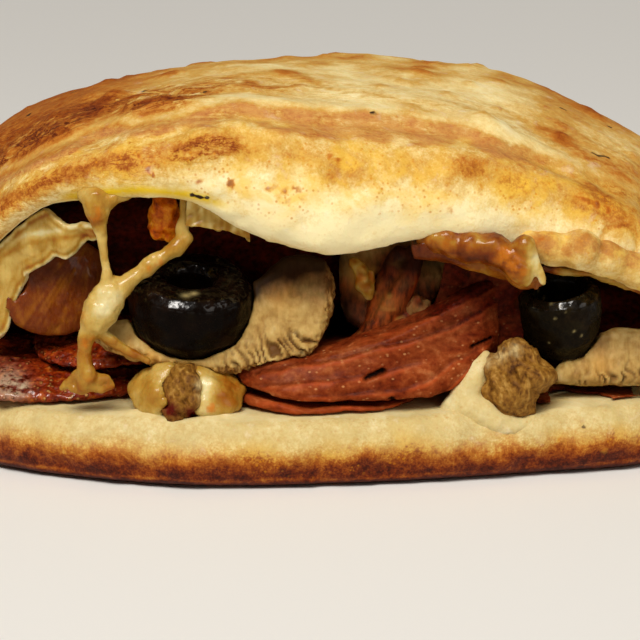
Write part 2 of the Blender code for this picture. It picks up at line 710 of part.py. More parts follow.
def make_ham_folds(dough, filling, finish, group):
    """The folded ham that fills the pocket: ruffled in the mouth, smooth against its neighbours."""
    walls, neighbours = surface_tree([dough]), surface_tree(filling)
    rings = []
    for i in range(FOLD_STATIONS):
        along = i / (FOLD_STATIONS - 1)
        x = mix(FOLDS_LEFT, FOLDS_RIGHT, along)
        heart = Vector((x, FOLD_MIDDLE, FOLD_HEART - FOLD_FALL * smoothstep(30.0, FOLDS_RIGHT, x)))
        shrink = oval(mix(-FOLD_END, FOLD_END, along), FOLD_END_POWER)
        ring = []
        for s in range(FOLD_SPOKES):
            angle = 2.0 * math.pi * s / FOLD_SPOKES
            across, up = math.cos(angle), math.sin(angle)
            furthest = FOLD_REACH
            if across < -0.2:
                furthest = min(furthest, (FOLD_FRONT - FOLD_MIDDLE) / across)
            reach = min(room_from(walls, heart, angle, furthest, LOOK_NEAR),
                        room_from(neighbours, heart, angle, furthest, LOOK_FAR))
            ruffle = 1.0 + math.sin(RUFFLES_ROUND * angle + x / RUFFLE_TWIST) if across < -0.7 else 0.0
            reach = reach * shrink - FOLD_RUFFLE * ruffle
            ring.append((x, heart.y + across * reach, heart.z + up * reach))
        rings.append(ring)
    return add_piece("ham_folds", loft(rings), finish, group)


def make_all(maker, sizes, finish, group):
    """One piece for each name in a table of sizes."""
    return [maker(name, size, finish, group) for name, size in sizes.items()]


def make_cheese_skin(finish, group):
    """The pale frilled skin of cheese that hangs from the lid at the left."""
    def place(u, v):
        x = mix(SKIN_LEFT, SKIN_RIGHT, u)
        head = lip_height(x) + 1.0 - 5.0 * smoothstep(-47.0, -40.0, x)
        z = mix(head, skin_foot(x), v)
        y = inner_front(x) + 0.6 + 1.2 * v + 0.9 * math.sin(x * 1.1) * v
        return (x, y, z)
    return add_piece("cheese_skin_left", sheet(place, 17, 4, SKIN_THICKNESS), finish, group)


def make_cheese_strings(finish, group):
    """Stretched cheese at the left: two strings from the lid meet in a white drop that runs down."""
    return make_melt("cheese_strings_left", STRINGS, STRING_VOXEL, STRING_FACES, finish, group)


def make_cheese_layer(finish, group):
    """The melted cheese under the right of the lid: a layer running back, a moist rim and two drips."""
    def rim(x):
        thick = mix(1.2, 2.3, smoothstep(36.0, 28.0, x))
        return (x, inner_front(x) + 0.6, lip_height(x) - 0.5 * thick - 0.3, thick)

    def under_lid(x, y):
        return (x, y, lip_height(x) + 1.6 + 2.0 * smoothstep(-42.0, -20.0, y), LAYER_BEAD)

    columns = [LAYER_LEFT + LAYER_PITCH * i for i in range(LAYER_COLUMNS)]
    rows = [LAYER_BACK - LAYER_ROW_PITCH * i for i in range(12)]
    chains = list(DRIPS)
    for x in columns:
        middle = 0.5 * (inner_front(x) + LAYER_BACK)
        chains.append([rim(x), under_lid(x, inner_front(x) + 5.0), under_lid(x, middle),
                       under_lid(x, LAYER_BACK)])
    for here, beyond in zip(columns, columns[1:]):
        chains.append([rim(here), rim(beyond)])
        chains.extend([under_lid(here, y), under_lid(beyond, y)]
                      for y in rows if y > inner_front(beyond) + 4.0)
    return make_melt("cheese_layer_right", chains, LAYER_VOXEL, LAYER_FACES, finish, group)


# ---------------------------------------------------------------- build

def centre_on_base(pieces):
    """Bring the middle of the loaf's box, at its underside, to the origin."""
    boxes = [box_of(piece) for piece in pieces]
    low = [min(box[0][k] for box in boxes) for k in range(3)]
    high = [max(box[1][k] for box in boxes) for k in range(3)]
    shift = Vector((-0.5 * (low[0] + high[0]), -0.5 * (low[1] + high[1]), -low[2]))
    for piece in pieces:
        piece.data.transform(Matrix.Translation(shift))


def build():
    """Make every piece, fit each round the ones before it, and centre the loaf on the origin."""
    for old in list(bpy.data.objects):
        bpy.data.objects.remove(old, do_unlink=True)
    parts = collection("stromboli")
    cutters = collection("room_cutters")
    crust = material("baked_crust", (0.80, 0.55, 0.28), 0.62)
    olive_skin = material("black_olive", (0.02, 0.014, 0.01), 0.22)
    meat = material("sausage", (0.42, 0.24, 0.11), 0.55)
    ham = material("ham", (0.56, 0.20, 0.15), 0.42)
    salami = material("pepperoni", (0.42, 0.06, 0.02), 0.35)
    mushroom = material("mushroom", (0.72, 0.56, 0.33), 0.55)
    pale_cheese = material("melted_cheese", (0.86, 0.76, 0.50), 0.35)
    orange_cheese = material("browned_cheese", (0.42, 0.19, 0.04), 0.35)
    pepper = material("roast_pepper", (0.62, 0.13, 0.02), 0.25)

    filling = make_all(make_olive, OLIVES, olive_skin, parts)
    filling += make_all(make_lump, SAUSAGE, meat, parts)
    filling += make_all(make_lump, PEPPER, pepper, parts)
    filling += make_ham(ham, parts)
    filling += make_all(make_lump, PEPPERONI, salami, parts)
    filling += make_all(make_lump, CHEESE_MOUND, pale_cheese, parts)
    filling += make_all(make_slice, MUSHROOMS, mushroom, parts)
    filling.append(make_cheese_skin(pale_cheese, parts))
    filling += make_all(make_lump, CHEESE_SLICE, orange_cheese, parts)
    filling.append(make_cheese_strings(pale_cheese, parts))
    filling.append(make_cheese_layer(pale_cheese, parts))
    pieces = [make_dough(crust, parts)]
    for piece in filling:
        fit_round(piece, pieces, cutters)
        pieces.append(piece)
    folds = make_ham_folds(pieces[0], pieces[1:], ham, parts)
    fit_round(folds, pieces, cutters)
    pieces.append(folds)
    centre_on_base(pieces)


build()
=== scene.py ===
# %% [markdown]
# # A stromboli, open along one side
# A stromboli is a sheet of bread dough folded over ham, olives, mushrooms, sausage and cheese, then baked.
# The packed solids give every piece its true size and place. This lesson dresses them: each solid is copied,
# meshed finely and evenly, pushed in and out where the food wrinkles or blisters, and painted with marks that
# a procedural finish turns into bake, oil and char, and into painted shade and painted highlights where the
# food lies in shadow or catches the light.

# %% Load the packed solids
import math
import random

import bmesh
import bpy
import numpy as np
from mathutils import Matrix, Vector, noise
from mathutils.bvhtree import BVHTree
from mathutils.kdtree import KDTree


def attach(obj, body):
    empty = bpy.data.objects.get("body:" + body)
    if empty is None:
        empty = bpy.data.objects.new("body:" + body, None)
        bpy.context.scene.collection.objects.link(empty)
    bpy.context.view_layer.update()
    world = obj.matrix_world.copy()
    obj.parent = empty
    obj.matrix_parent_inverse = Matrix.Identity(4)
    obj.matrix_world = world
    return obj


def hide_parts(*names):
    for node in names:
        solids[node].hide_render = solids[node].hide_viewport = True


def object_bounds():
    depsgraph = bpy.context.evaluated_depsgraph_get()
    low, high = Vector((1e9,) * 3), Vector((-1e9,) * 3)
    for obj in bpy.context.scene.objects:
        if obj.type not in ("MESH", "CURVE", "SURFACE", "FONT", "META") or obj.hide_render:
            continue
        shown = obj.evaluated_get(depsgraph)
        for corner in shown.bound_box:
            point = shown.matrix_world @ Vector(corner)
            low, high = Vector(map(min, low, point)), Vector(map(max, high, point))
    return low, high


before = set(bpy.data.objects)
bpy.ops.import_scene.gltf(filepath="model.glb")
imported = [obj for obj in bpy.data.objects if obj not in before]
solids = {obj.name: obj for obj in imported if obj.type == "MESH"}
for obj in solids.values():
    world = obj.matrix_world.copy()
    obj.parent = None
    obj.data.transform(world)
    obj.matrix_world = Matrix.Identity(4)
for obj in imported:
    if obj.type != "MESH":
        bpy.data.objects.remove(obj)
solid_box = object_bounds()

MM = 0.001
box_low, box_high = (np.array(corner) / MM for corner in solid_box)
print("solids:", len(solids), "box in mm:", box_low.round(1), box_high.round(1))

# %% [markdown]
# ## Where the marks go
# Toasted spots, folds and char are placed where the eye meets them, looking at the loaf from the front and a
# little above. A line of sight from that one place through a point of a 640 by 640 picture meets the food
# somewhere, and that meeting point, in millimetres, is where a mark is painted.

# %% A line of sight
EYE = Vector((0.0, -372.8, 95.6))
EYE_TILT = math.radians(12.0)
LENS, SENSOR = 116.0, 36.0
PICTURE = 640
RIGHT = Vector((1.0, 0.0, 0.0))
FORWARD = Vector((0.0, math.cos(EYE_TILT), -math.sin(EYE_TILT)))
UPWARD = Vector((0.0, math.sin(EYE_TILT), math.cos(EYE_TILT)))
FOCAL = LENS / SENSOR * PICTURE
POINTS_PER_MM = 6.25


def tree_of(name):
    """The surface of a solid, ready to be met by a line of sight, in millimetres."""
    mesh = solids[name].data
    return BVHTree.FromPolygons([v.co / MM for v in mesh.vertices], [p.vertices[:] for p in mesh.polygons])


def sight(across, down):
    """The direction in which a place of the picture is seen."""
    return FORWARD + RIGHT * ((across - PICTURE / 2) / FOCAL) + UPWARD * ((PICTURE / 2 - down) / FOCAL)


def seen(tree, across, down):
    """The point of a surface that shows at a place of the picture, or None."""
    return tree.ray_cast(EYE, sight(across, down).normalized())[0]


def hung_at(across, down, y):
    """The point in line with a place of the picture that lies at a depth y."""
    way = sight(across, down)
    return EYE + way * ((y - EYE.y) / way.y)


def picture_of(places):
    """Where points show in the picture: across and down."""
    away = places - np.array(EYE)
    deep = away @ np.array(FORWARD)
    return PICTURE / 2 + FOCAL * away[:, 0] / deep, PICTURE / 2 - FOCAL * (away @ np.array(UPWARD)) / deep


dough_tree = tree_of("dough")
print("middle of the lip is at", seen(dough_tree, 320, 220))

# %% [markdown]
# ## A fine, even skin for each solid
# The packed solids have few, uneven triangles. A merged copy is remeshed in small even cells, so that
# wrinkles, pits and gills can be real relief and not only paint. Where the front shows close up, cells are
# split once.

# %% Smooth steps and soft noise
def rise(start, end, value):
    """0 before start, 1 past end and smooth between, for one number or many."""
    t = np.clip((value - start) / (end - start), 0.0, 1.0)
    return t * t * (3.0 - 2.0 * t)


def lumps(places, size, shift=0.0):
    """Soft noise from -1 to 1; size is one number, or one for each direction, in millimetres."""
    return np.array([noise.noise(p) for p in places / np.array(size) + shift])


def folds(places, size, shift=0.0):
    """Noise with sharp crests, up to 1."""
    return 1.0 - np.abs(lumps(places, size, shift)) * 2.0


def bell(value, middle, width):
    """1 at the middle, falling softly to 0 on both sides."""
    return np.exp(-((value - middle) / width) ** 2)


print("a smooth step has risen to", float(rise(0.0, 1.0, 0.25)), "at a quarter of its way")

# %% Measure, push and paint
def vertex_rows(items, what):
    """Three numbers in a row for each item."""
    flat = np.empty(len(items) * 3)
    items.foreach_get(what, flat)
    return flat.reshape(-1, 3)


def places_of(piece):
    """Vertices in millimetres."""
    return vertex_rows(piece.data.vertices, "co") / MM


def shown_at(piece):
    """Vertices in millimetres, and where they show in the picture: across and down."""
    places = places_of(piece)
    return (places, *picture_of(places))


def outward(piece):
    """The outward direction at each vertex."""
    return vertex_rows(piece.data.vertex_normals, "vector")


def put_places(piece, places):
    """Moves the vertices, never out of the box that the solids fill."""
    piece.data.vertices.foreach_set("co", (np.clip(places, box_low, box_high) * MM).ravel())
    piece.data.update()


def push(piece, heights):
    """Pushes each vertex outward by its own height in millimetres."""
    put_places(piece, places_of(piece) + outward(piece) * heights[:, None])


PAINT_LIMIT = 4.0


def paint(piece, name, values):
    """Keeps one number for each vertex, which the finish reads."""
    layer = piece.data.attributes.new(name, "FLOAT", "POINT")
    layer.data.foreach_set("value", np.clip(values, -PAINT_LIMIT, PAINT_LIMIT) + np.zeros(len(layer.data)))


print("a vertex stays between", box_low.round(2), "and", box_high.round(2))

# %% Copy and mesh
SAME_PLACE = 0.01       # vertices this close, in mm, are merged


def new_piece(name, bm, smooth=True):
    """Puts a finished bmesh into the scene."""
    mesh = bpy.data.meshes.new(name)
    bm.to_mesh(mesh)
    bm.free()
    piece = bpy.data.objects.new(name, mesh)
    bpy.context.scene.collection.objects.link(piece)
    mesh.polygons.foreach_set("use_smooth", [smooth] * len(mesh.polygons))
    return piece


def evenly_meshed(piece, cell):
    """Gives a closed piece even cells of that size in millimetres."""
    remesh = piece.modifiers.new("even cells", "REMESH")
    remesh.mode = "VOXEL"
    remesh.voxel_size = cell * MM
    fine = bpy.data.meshes.new_from_object(piece.evaluated_get(bpy.context.evaluated_depsgraph_get()))
    piece.modifiers.clear()
    coarse = piece.data
    piece.data = fine
    fine.name = coarse.name
    bpy.data.meshes.remove(coarse)
    fine.polygons.foreach_set("use_smooth", [True] * len(fine.polygons))


def split_cells(piece, chosen):
    """Splits the cells whose middle passes the test once each way."""
    bm = bmesh.new()
    bm.from_mesh(piece.data)
    edges = {e for f in bm.faces if chosen(f.calc_center_median() / MM) for e in f.edges}
    bmesh.ops.subdivide_edges(bm, edges=list(edges), cuts=1, use_grid_fill=True)
    bmesh.ops.triangulate(bm, faces=[f for f in bm.faces if len(f.verts) > 4])
    bm.to_mesh(piece.data)
    bm.free()
    piece.data.polygons.foreach_set("use_smooth", [True] * len(piece.data.polygons))


def smoothed(piece, times):
    """Rounds off the little stairs that even cells leave."""
    bm = bmesh.new()
    bm.from_mesh(piece.data)
    for _ in range(times):
        bmesh.ops.smooth_vert(bm, verts=bm.verts, factor=0.5,
                              use_axis_x=True, use_axis_y=True, use_axis_z=True)
    bm.to_mesh(piece.data)
    bm.free()


def skin_of(node, name, cell, rounds=2):
    """A fine copy of one solid, which stands for it."""
    bm = bmesh.new()
    bm.from_mesh(solids[node].data)
    bmesh.ops.remove_doubles(bm, verts=bm.verts, dist=SAME_PLACE * MM)
    piece = new_piece(name, bm)
    evenly_meshed(piece, cell)
    smoothed(piece, rounds)
    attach(piece, "root")
    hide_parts(node)
    return piece


print("the dough's solid has", len(solids["dough"].data.polygons), "triangles, far apart")

# %% Soft marks
SPOT_FADES, SHOWN_SPOT_FADES = 2.4, 2.5       # a mark has faded out at this many of its radii


def spots(places, marks, waver=0.0):
    """Adds up soft round marks (x, y, z, radius, amount)."""
    total = np.zeros(len(places))
    for x, y, z, radius, amount in marks:
        far = np.linalg.norm(places - np.array((x, y, z)), axis=1) / radius
        near = far < SPOT_FADES
        edge = far[near]
        if waver:
            edge = edge + waver * lumps(places[near], radius * 0.7, x)
        total[near] += amount * np.exp(-edge ** 2)
    return total


def spots_seen(places, tree, marks, waver=0.0):
    """Soft marks (across, down, radius in mm, amount), laid where the picture shows them on a surface."""
    found = [(seen(tree, across, down), size) for across, down, *size in marks]
    return spots(places, [(*place, *size) for place, size in found if place is not None], waver)


def picture_spots(places, marks, waver=0.3):
    """Soft marks (across, down, radius in mm, amount), measured as they show in the picture."""
    across, down = picture_of(places)
    total = np.zeros(len(places))
    for mark_across, mark_down, radius, amount in marks:
        far = np.hypot(across - mark_across, down - mark_down) / POINTS_PER_MM / radius
        near = far < SHOWN_SPOT_FADES
        total[near] += amount * np.exp(-(far[near] + waver * lumps(places[near], radius * 0.7)) ** 2)
    return total


def along(places, path):
    """How far each place is from a line of points, and how far along the line that is."""
    nearest, passed, length = np.full(len(places), 1e9), np.zeros(len(places)), 0.0
    for start, end in zip(path[:-1], path[1:]):
        a, b = np.array(start), np.array(end)
        run = b - a
        size = math.sqrt(run @ run)
        t = np.clip((places - a) @ run / (run @ run), 0.0, 1.0)
        far = np.linalg.norm(places - a - t[:, None] * run, axis=1)
        closer = far < nearest
        nearest[closer] = far[closer]
        passed[closer] = length + t[closer] * size
        length += size
    return nearest, passed


edge_of_mark = spots(np.array([(2.0, 0.0, 0.0)]), [(0, 0, 0, 2.0, 1)])[0]
print("a mark keeps", round(float(edge_of_mark), 2), "of its strength at its radius")

# %% [markdown]
# ## Finishes written as sums
# A finish is a web of shader nodes. Writing it as Python sums keeps it readable: a Socket is one value
# between nodes, and adding or multiplying it adds the Math node that does it.

# %% A value between nodes
class Socket:
    """One value that runs between shader nodes."""

    def __init__(self, finish, plug):
        self.finish, self.plug = finish, plug

    def maths(self, operation, first, second):
        return self.finish.node("Math", {"operation": operation}, {0: first, 1: second})

    def __add__(self, other):
        return self.maths("ADD", self, other)

    def __mul__(self, other):
        return self.maths("MULTIPLY", self, other)

    def __sub__(self, other):
        return self.maths("SUBTRACT", self, other)

    def __rsub__(self, other):
        return self.maths("SUBTRACT", other, self)

    __radd__ = __add__
    __rmul__ = __mul__

    def rising(self, low, high):
        """0 below low, 1 above high, smooth between."""
        return self.finish.node("MapRange", {"interpolation_type": "SMOOTHSTEP"}, {0: self, 1: low, 2: high})


sums = [name for name in vars(Socket) if name.endswith(("add__", "sub__", "mul__"))]
print("a value between nodes can be added, taken away and multiplied:", sums)

# %% Screen colours
def colour(red, green, blue):
    """A screen colour, 0 to 255, as the light it stands for."""
    parts = [v / 255.0 for v in (red, green, blue)]
    return tuple(p / 12.92 if p <= 0.04045 else ((p + 0.055) / 1.055) ** 2.4 for p in parts) + (1.0,)


print("half bright on screen is", round(colour(128, 128, 128)[0], 3), "as light")

# %% A finish
class Finish:
    """A material whose values add up like numbers; its tone is the colour laid down so far."""

    def __init__(self, name, fixed):
        self.material = bpy.data.materials.new(name)
        self.material.use_nodes = True
        self.tree = self.material.node_tree
        self.shader = self.tree.nodes["Principled BSDF"]
        for plug, value in fixed.items():
            self.shader.inputs[plug].default_value = value
        self.place = self.node("TexCoord", output="Object")
        self.tone = None

    def node(self, kind, settings=None, inputs=None, output=0):
        """Adds a node with its settings and its inputs, each a value or a link."""
        made = self.tree.nodes.new("ShaderNode" + kind)
        for name, value in (settings or {}).items():
            if name == "stops":
                self.set_stops(made.color_ramp, value)
            else:
                setattr(made, name, value)
        for name, value in (inputs or {}).items():
            if isinstance(value, Socket):
                self.tree.links.new(value.plug, made.inputs[name])
            else:
                made.inputs[name].default_value = value
        return Socket(self, made.outputs[output])

    @staticmethod
    def set_stops(ramp, stops):
        while len(ramp.elements) < len(stops):
            ramp.elements.new(0.5)
        for element, (where, tone) in zip(ramp.elements, stops):
            element.position = where
            element.color = colour(*tone)

    def stretched(self, size, stretch):
        """The place on the piece, measured in that many millimetres, finer where it is stretched more."""
        scale = tuple(s / (size * MM) for s in stretch)
        return self.node("Mapping", None, {"Vector": self.place, "Scale": scale})

    def noise(self, size, detail=4.0, stretch=(1.0, 1.0, 1.0), rough=0.55, wander=0.0):
        """Soft noise from 0 to 1, its lumps that many millimetres across."""
        return self.node("TexNoise", None, {"Vector": self.stretched(size, stretch), "Scale": 1.0,
                                            "Detail": detail, "Roughness": rough, "Distortion": wander})

    def cells(self, size, stretch=(1.0, 1.0, 1.0)):
        """Distance from the middle of scattered cells that many millimetres across."""
        return self.node("TexVoronoi", None, {"Vector": self.stretched(size, stretch), "Scale": 1.0,
                                              "Randomness": 1.0})

    def painted(self, name):
        """A number that was painted on the piece."""
        return self.node("Attribute", {"attribute_name": name}, output="Fac")

    def ramp(self, value, stops):
        """Colours along a value, each stop (value, screen colour)."""
        return self.node("ValToRGB", {"stops": stops}, {0: value})

    def tint(self, amount, over):
        """Lays a ramp or a screen colour over the tone so far."""
        over = over if isinstance(over, Socket) else colour(*over)
        self.tone = self.node("Mix", {"data_type": "RGBA", "clamp_factor": True},
                              {0: amount, 6: self.tone, 7: over}, output=2)

    def relief(self, height, depth, under=None):
        """A bump that many millimetres deep, over another one."""
        inputs = {"Height": height, "Distance": depth * MM, "Strength": 1.0}
        if under is not None:
            inputs["Normal"] = under
        return self.node("Bump", None, inputs)

    def feed(self, **values):
        """Links the tone, and what else changes over the surface, to the shader."""
        for name, value in {"Base Color": self.tone, **values}.items():
            self.tree.links.new(value.plug, self.shader.inputs[name.replace("_", " ")])
        print(self.material.name, "finish:", len(self.tree.nodes), "nodes")


print("a finish offers", [name for name in vars(Finish) if not name.startswith("_")])

# %% Dress a piece
def wetness(upward):
    """How much of the oily, juicy film stays, by how far up the surface looks."""
    return rise(-0.15, 0.5, upward)


def dress(piece, finish):
    """Gives a piece its finish, and paints where it is wet."""
    piece.data.materials.clear()
    piece.data.materials.append(finish.material)
    paint(piece, "wet", wetness(outward(piece)[:, 2]))


def wear(piece, finish, slot, **marks):
    """Paints each named mark on a piece, gives it its finish and counts its vertices; slot is not used."""
    for name, values in marks.items():
        paint(piece, name, values)
    dress(piece, finish)
    print(piece.name, len(piece.data.vertices), "vertices")


print("wetness of what faces up, sideways and down:", [round(float(wetness(v)), 2) for v in (1.0, 0.0, -1.0)])

# %% [markdown]
# ## The crust
# Dough browns by how much heat reaches it: pale on the bulging lip, golden on the rim of the base, brown
# where it meets the tray, and in stripes where the lid's skin wrinkled and lifted. So the skin is shaped
# first, and one painted number, bake, says how far each point has browned.

# %% Lines that the lid follows
SAMPLES, WINDOW = 641, 25      # points along a line, and how many of them are averaged
HALF_LENGTH, FRONT_REACH, SQUARENESS = 75.0, 56.0, 2.6
CENTRED_BY = 0.599      # the loaf was moved back by this many mm when it was centred


def line_through(points):
    """A smooth height for each place across the loaf, through points (across, height) in mm."""
    across = np.linspace(-80.0, 80.0, SAMPLES)
    heights = np.interp(across, [p[0] for p in points], [p[1] for p in points])
    window = np.hanning(WINDOW)
    padded = np.pad(heights, WINDOW // 2, mode="edge")
    soft = np.convolve(padded, window / window.sum(), mode="valid")
    return lambda x: np.interp(x, across, soft)


lip_height = line_through([(-74, 20), (-62, 29), (-53, 37.4), (-42, 45.2), (-21, 46.8), (-15, 42.6),
                           (3, 37.3), (17, 39.8), (30, 36), (46, 33.4), (54, 30.4), (64, 26), (74, 20)])
ridge_height = line_through([(-74, 26), (-62, 38), (-53, 46.4), (-37, 54.6), (-13, 58.6), (4, 55), (24, 53.8),
                             (39, 49), (53, 43), (62, 36), (74, 26)])
step_rise = line_through([(-60, 0.8), (-30, 1.2), (-8, 2.4), (6, 4.6), (24, 2.8), (45, 1.4), (60, 0.8)])


def front_at(x):
    """How far forward the loaf reaches: a squarish oval seen from above."""
    fullness = np.maximum(0.0, 1.0 - np.abs(x / HALF_LENGTH) ** SQUARENESS) ** (1.0 / SQUARENESS)
    return CENTRED_BY - FRONT_REACH * fullness


def away_from_ends(x):
    """1 along the loaf, 0 at both closed ends."""
    return rise(70.0, 54.0, np.abs(x))


print("lip and ridge above the middle:", float(lip_height(0.0)), float(ridge_height(0.0)))

# %% Skin of the dough
CRUST_CELL = 1.18
RIM_TOP = 14.0      # the rim of the base ends at this height
SHOWN_BEHIND = 15.0      # the crust shows close up this far behind its front edge
crust = skin_of("dough", "crust", CRUST_CELL, rounds=3)
split_cells(crust, lambda p: p.y < front_at(p.x) + SHOWN_BEHIND and p.z > 1.0)
smoothed(crust, 1)
places, out = places_of(crust), outward(crust)
x, y, z = places.T
HEART_Y, HEART_Z = -8.0, 27.0       # the pocket's middle line, which its walls face
heart = np.stack([x * 0.8, np.full(len(x), HEART_Y), np.full(len(x), HEART_Z)], axis=1)
inner = np.einsum("ij,ij->i", out, heart - places) > 0.0
outer = ~inner
depth_in = y - front_at(x)
above_step = z - ridge_height(x) - step_rise(x) - 0.7 * lumps(places, (6.0, 30.0, 30.0))
top_skin = rise(-0.6, 0.8, above_step) * outer * (z > RIM_TOP)
near_front = rise(24.0, 12.0, depth_in)
leftness = rise(22.0, -30.0, x)
print("crust:", len(x), "vertices,", len(crust.data.polygons), "cells")

# %% [markdown]
# ## Wrinkles, a ledge and blisters
# While it bakes, the lid's skin dries before the crumb beneath has risen: it lifts in thin layers at the
# left, and hangs as a ledge over the face of the lip. The layers are noise that is stretched along the loaf
# and counted upward from the ledge, so they run beside it. Blisters are scattered by a seeded draw.

# %% Wrinkles and ledge of the lid
warp = lumps(places, 11.0, 3.0) * 2.2 + lumps(places, 4.0, 8.0) * 0.8
strata = np.stack([x / 15.0, above_step / 2.2 + y / 7.0 + warp / 2.2, np.zeros(len(x))], axis=1)
layer_noise = lumps(strata, 1.0)
crests = 1.0 - 2.0 * np.abs(layer_noise)
thin_crests = folds(places, (9.0, 2.6, 1.6), 5.0)
wrinkle_zone = rise(44.0, 17.0, depth_in) * rise(0.4, 2.0, above_step) * away_from_ends(x)
wrinkles = top_skin * wrinkle_zone * (0.35 + 0.65 * leftness) * (crests + 0.45 * thin_crests)
overhang = rise(-0.8, 0.5, above_step) * rise(5.0, 0.8, above_step)
undercut = rise(-2.8, -1.0, above_step) * rise(-0.1, -0.9, above_step)
ledge = (overhang - 0.7 * undercut) * near_front * (z > 24.0) * outer
ledge = ledge * (1.0 + 0.5 * lumps(places, 7.0, 4.0))
print("wrinkles up to", round(float(wrinkles.max()), 2), "mm")

# %% Blisters
BLISTERS = 110
BLISTER_RADIUS, BLISTER_HEIGHT = (0.9, 3.0), (0.25, 0.8)
dice = random.Random(11)
blisters = []
for _ in range(BLISTERS):
    across = dice.uniform(-70.0, 70.0)
    above = Vector((across, float(front_at(across)) + dice.uniform(15.0, 100.0), 90.0))
    place = dough_tree.ray_cast(above, Vector((0, 0, -1)))[0]
    if place is not None and place.z > 20.0:
        blisters.append((*place, dice.uniform(*BLISTER_RADIUS), dice.uniform(*BLISTER_HEIGHT)))
blister_rise = spots(places, blisters, 0.25) * top_skin
print("blisters:", len(blisters))

# %% Pleats and swellings that the picture shows
CRINKLED = [
    (184, 153, 1.6, 1.0), (194, 152, 1.8, 1.0), (205, 148, 1.9, 1.0), (216, 145, 1.8, 1.0),
    (227, 142, 1.7, 1.0), (212, 153, 1.5, 0.8), (234, 146, 1.2, 0.7)]
BULGES = [
    (208, 148, 3.6, 0.5), (581, 244, 2.4, 1.0), (550, 238, 2.6, 0.6), (330, 235, 5.0, 0.5),
    (470, 222, 4.0, 0.5), (620, 240, 3.4, 0.7)]
BASE_SWELLS = [
    (136, 414, 2.0, 0.8), (150, 421, 2.2, 1.0), (168, 426, 2.4, 1.0), (188, 427, 2.4, 1.0),
    (206, 424, 2.2, 1.0), (224, 417, 2.0, 0.8), (448, 415, 2.2, 0.6), (466, 425, 2.6, 0.8),
    (490, 431, 2.8, 0.9), (515, 432, 2.6, 0.9), (538, 424, 2.4, 0.8), (556, 415, 2.0, 0.5)]
SWIRL, SWIRL_SIZE = (619, 243), 2.9
face = outer * rise(-1.0, 1.5, z - lip_height(x)) * rise(0.6, -0.8, above_step) * rise(18.0, 12.0, depth_in)
crinkled = np.clip(spots_seen(places, dough_tree, CRINKLED, 0.4), 0.0, 1.0) * face
across, down = picture_of(places)
from_swirl = np.hypot(across - SWIRL[0], down - SWIRL[1]) / POINTS_PER_MM + 0.4 * lumps(places, 2.5, 9.0)
swirl = bell(from_swirl, SWIRL_SIZE, 0.4) * (y < -30.0)
soft_lumps = 0.5 * lumps(places, 8.0, 7.0) + 0.2 * lumps(places, 3.2, 2.0)
swell = face * (soft_lumps - 0.4 * swirl + spots_seen(places, dough_tree, BULGES, 0.3))
pleating = 0.5 * crinkled * (folds(places, 1.6, 3.0) - 0.4)
rim = outer * rise(15.0, 11.0, z) * rise(9.0, 5.0, depth_in)
knobs = rim * rise(0.5, 2.5, z) * (0.5 * lumps(places, 6.0, 1.0) + 0.2 * lumps(places, 2.4, 4.0))
rough = outer * (0.22 * lumps(places, 3.4, 9.0) + 0.08 * lumps(places, 1.7, 5.0)) * rise(0.3, 2.0, z)
base_swells = spots_seen(places, dough_tree, BASE_SWELLS) * (z < RIM_TOP)
push(crust, 0.95 * wrinkles + 0.7 * ledge + blister_rise + swell + pleating + knobs + rough + base_swells)
print("swellings of the base rise up to", round(float(base_swells.max()), 2), "mm")

# %% [markdown]
# ## How far each point has baked
# Bake runs from 0, raw cream, to 1, nearly black. Up the face of the lip it goes in stripes, which differ
# from left to right; on the lid it follows the layers, the blisters and broad hot places; on the base it
# grows towards the tray. The parts are worked out one by one, then laid over each other.

# %% Stripes up the face of the lip
places, across, down = shown_at(crust)
x, y, z = places.T
coarse, middling, small = lumps(places, 12.0, 1.0), lumps(places, 5.0, 2.0), lumps(places, 2.2, 6.0)
up_the_face = (z - lip_height(x)) / np.maximum(4.0, ridge_height(x) - lip_height(x))
ends = rise(46.0, 72.0, np.abs(x))
UP = (-0.2, 0.0, 0.3, 0.5, 0.64, 0.80, 0.92, 1.04, 1.12)
LEFT_STRIPES = (0.12, 0.14, 0.22, 0.40, 0.56, 0.46, 0.24, 0.22, 0.56)
MIDDLE_STRIPES = (-0.06, -0.06, -0.03, 0.03, 0.16, 0.34, 0.30, 0.22, 0.44)
RIGHT_STRIPES = (0.04, 0.04, 0.07, 0.12, 0.26, 0.42, 0.38, 0.32, 0.50)
wavy = up_the_face + 0.07 * middling + 0.03 * small
is_left, is_right = rise(-10.0, -34.0, x), rise(16.0, 38.0, x)
parts = ((is_left, LEFT_STRIPES), (is_right, RIGHT_STRIPES), (1.0 - is_left - is_right, MIDDLE_STRIPES))
face_bake = sum(share * np.interp(wavy, UP, stripes) for share, stripes in parts)
face_bake += (0.05 * rise(0.5, 0.8, up_the_face) + (0.08 + 0.06 * is_left) * middling + 0.05 * small
              + 0.22 * ends)
print("the face of the lip has baked to", round(float(face_bake[face > 0.5].max()), 2), "at most")

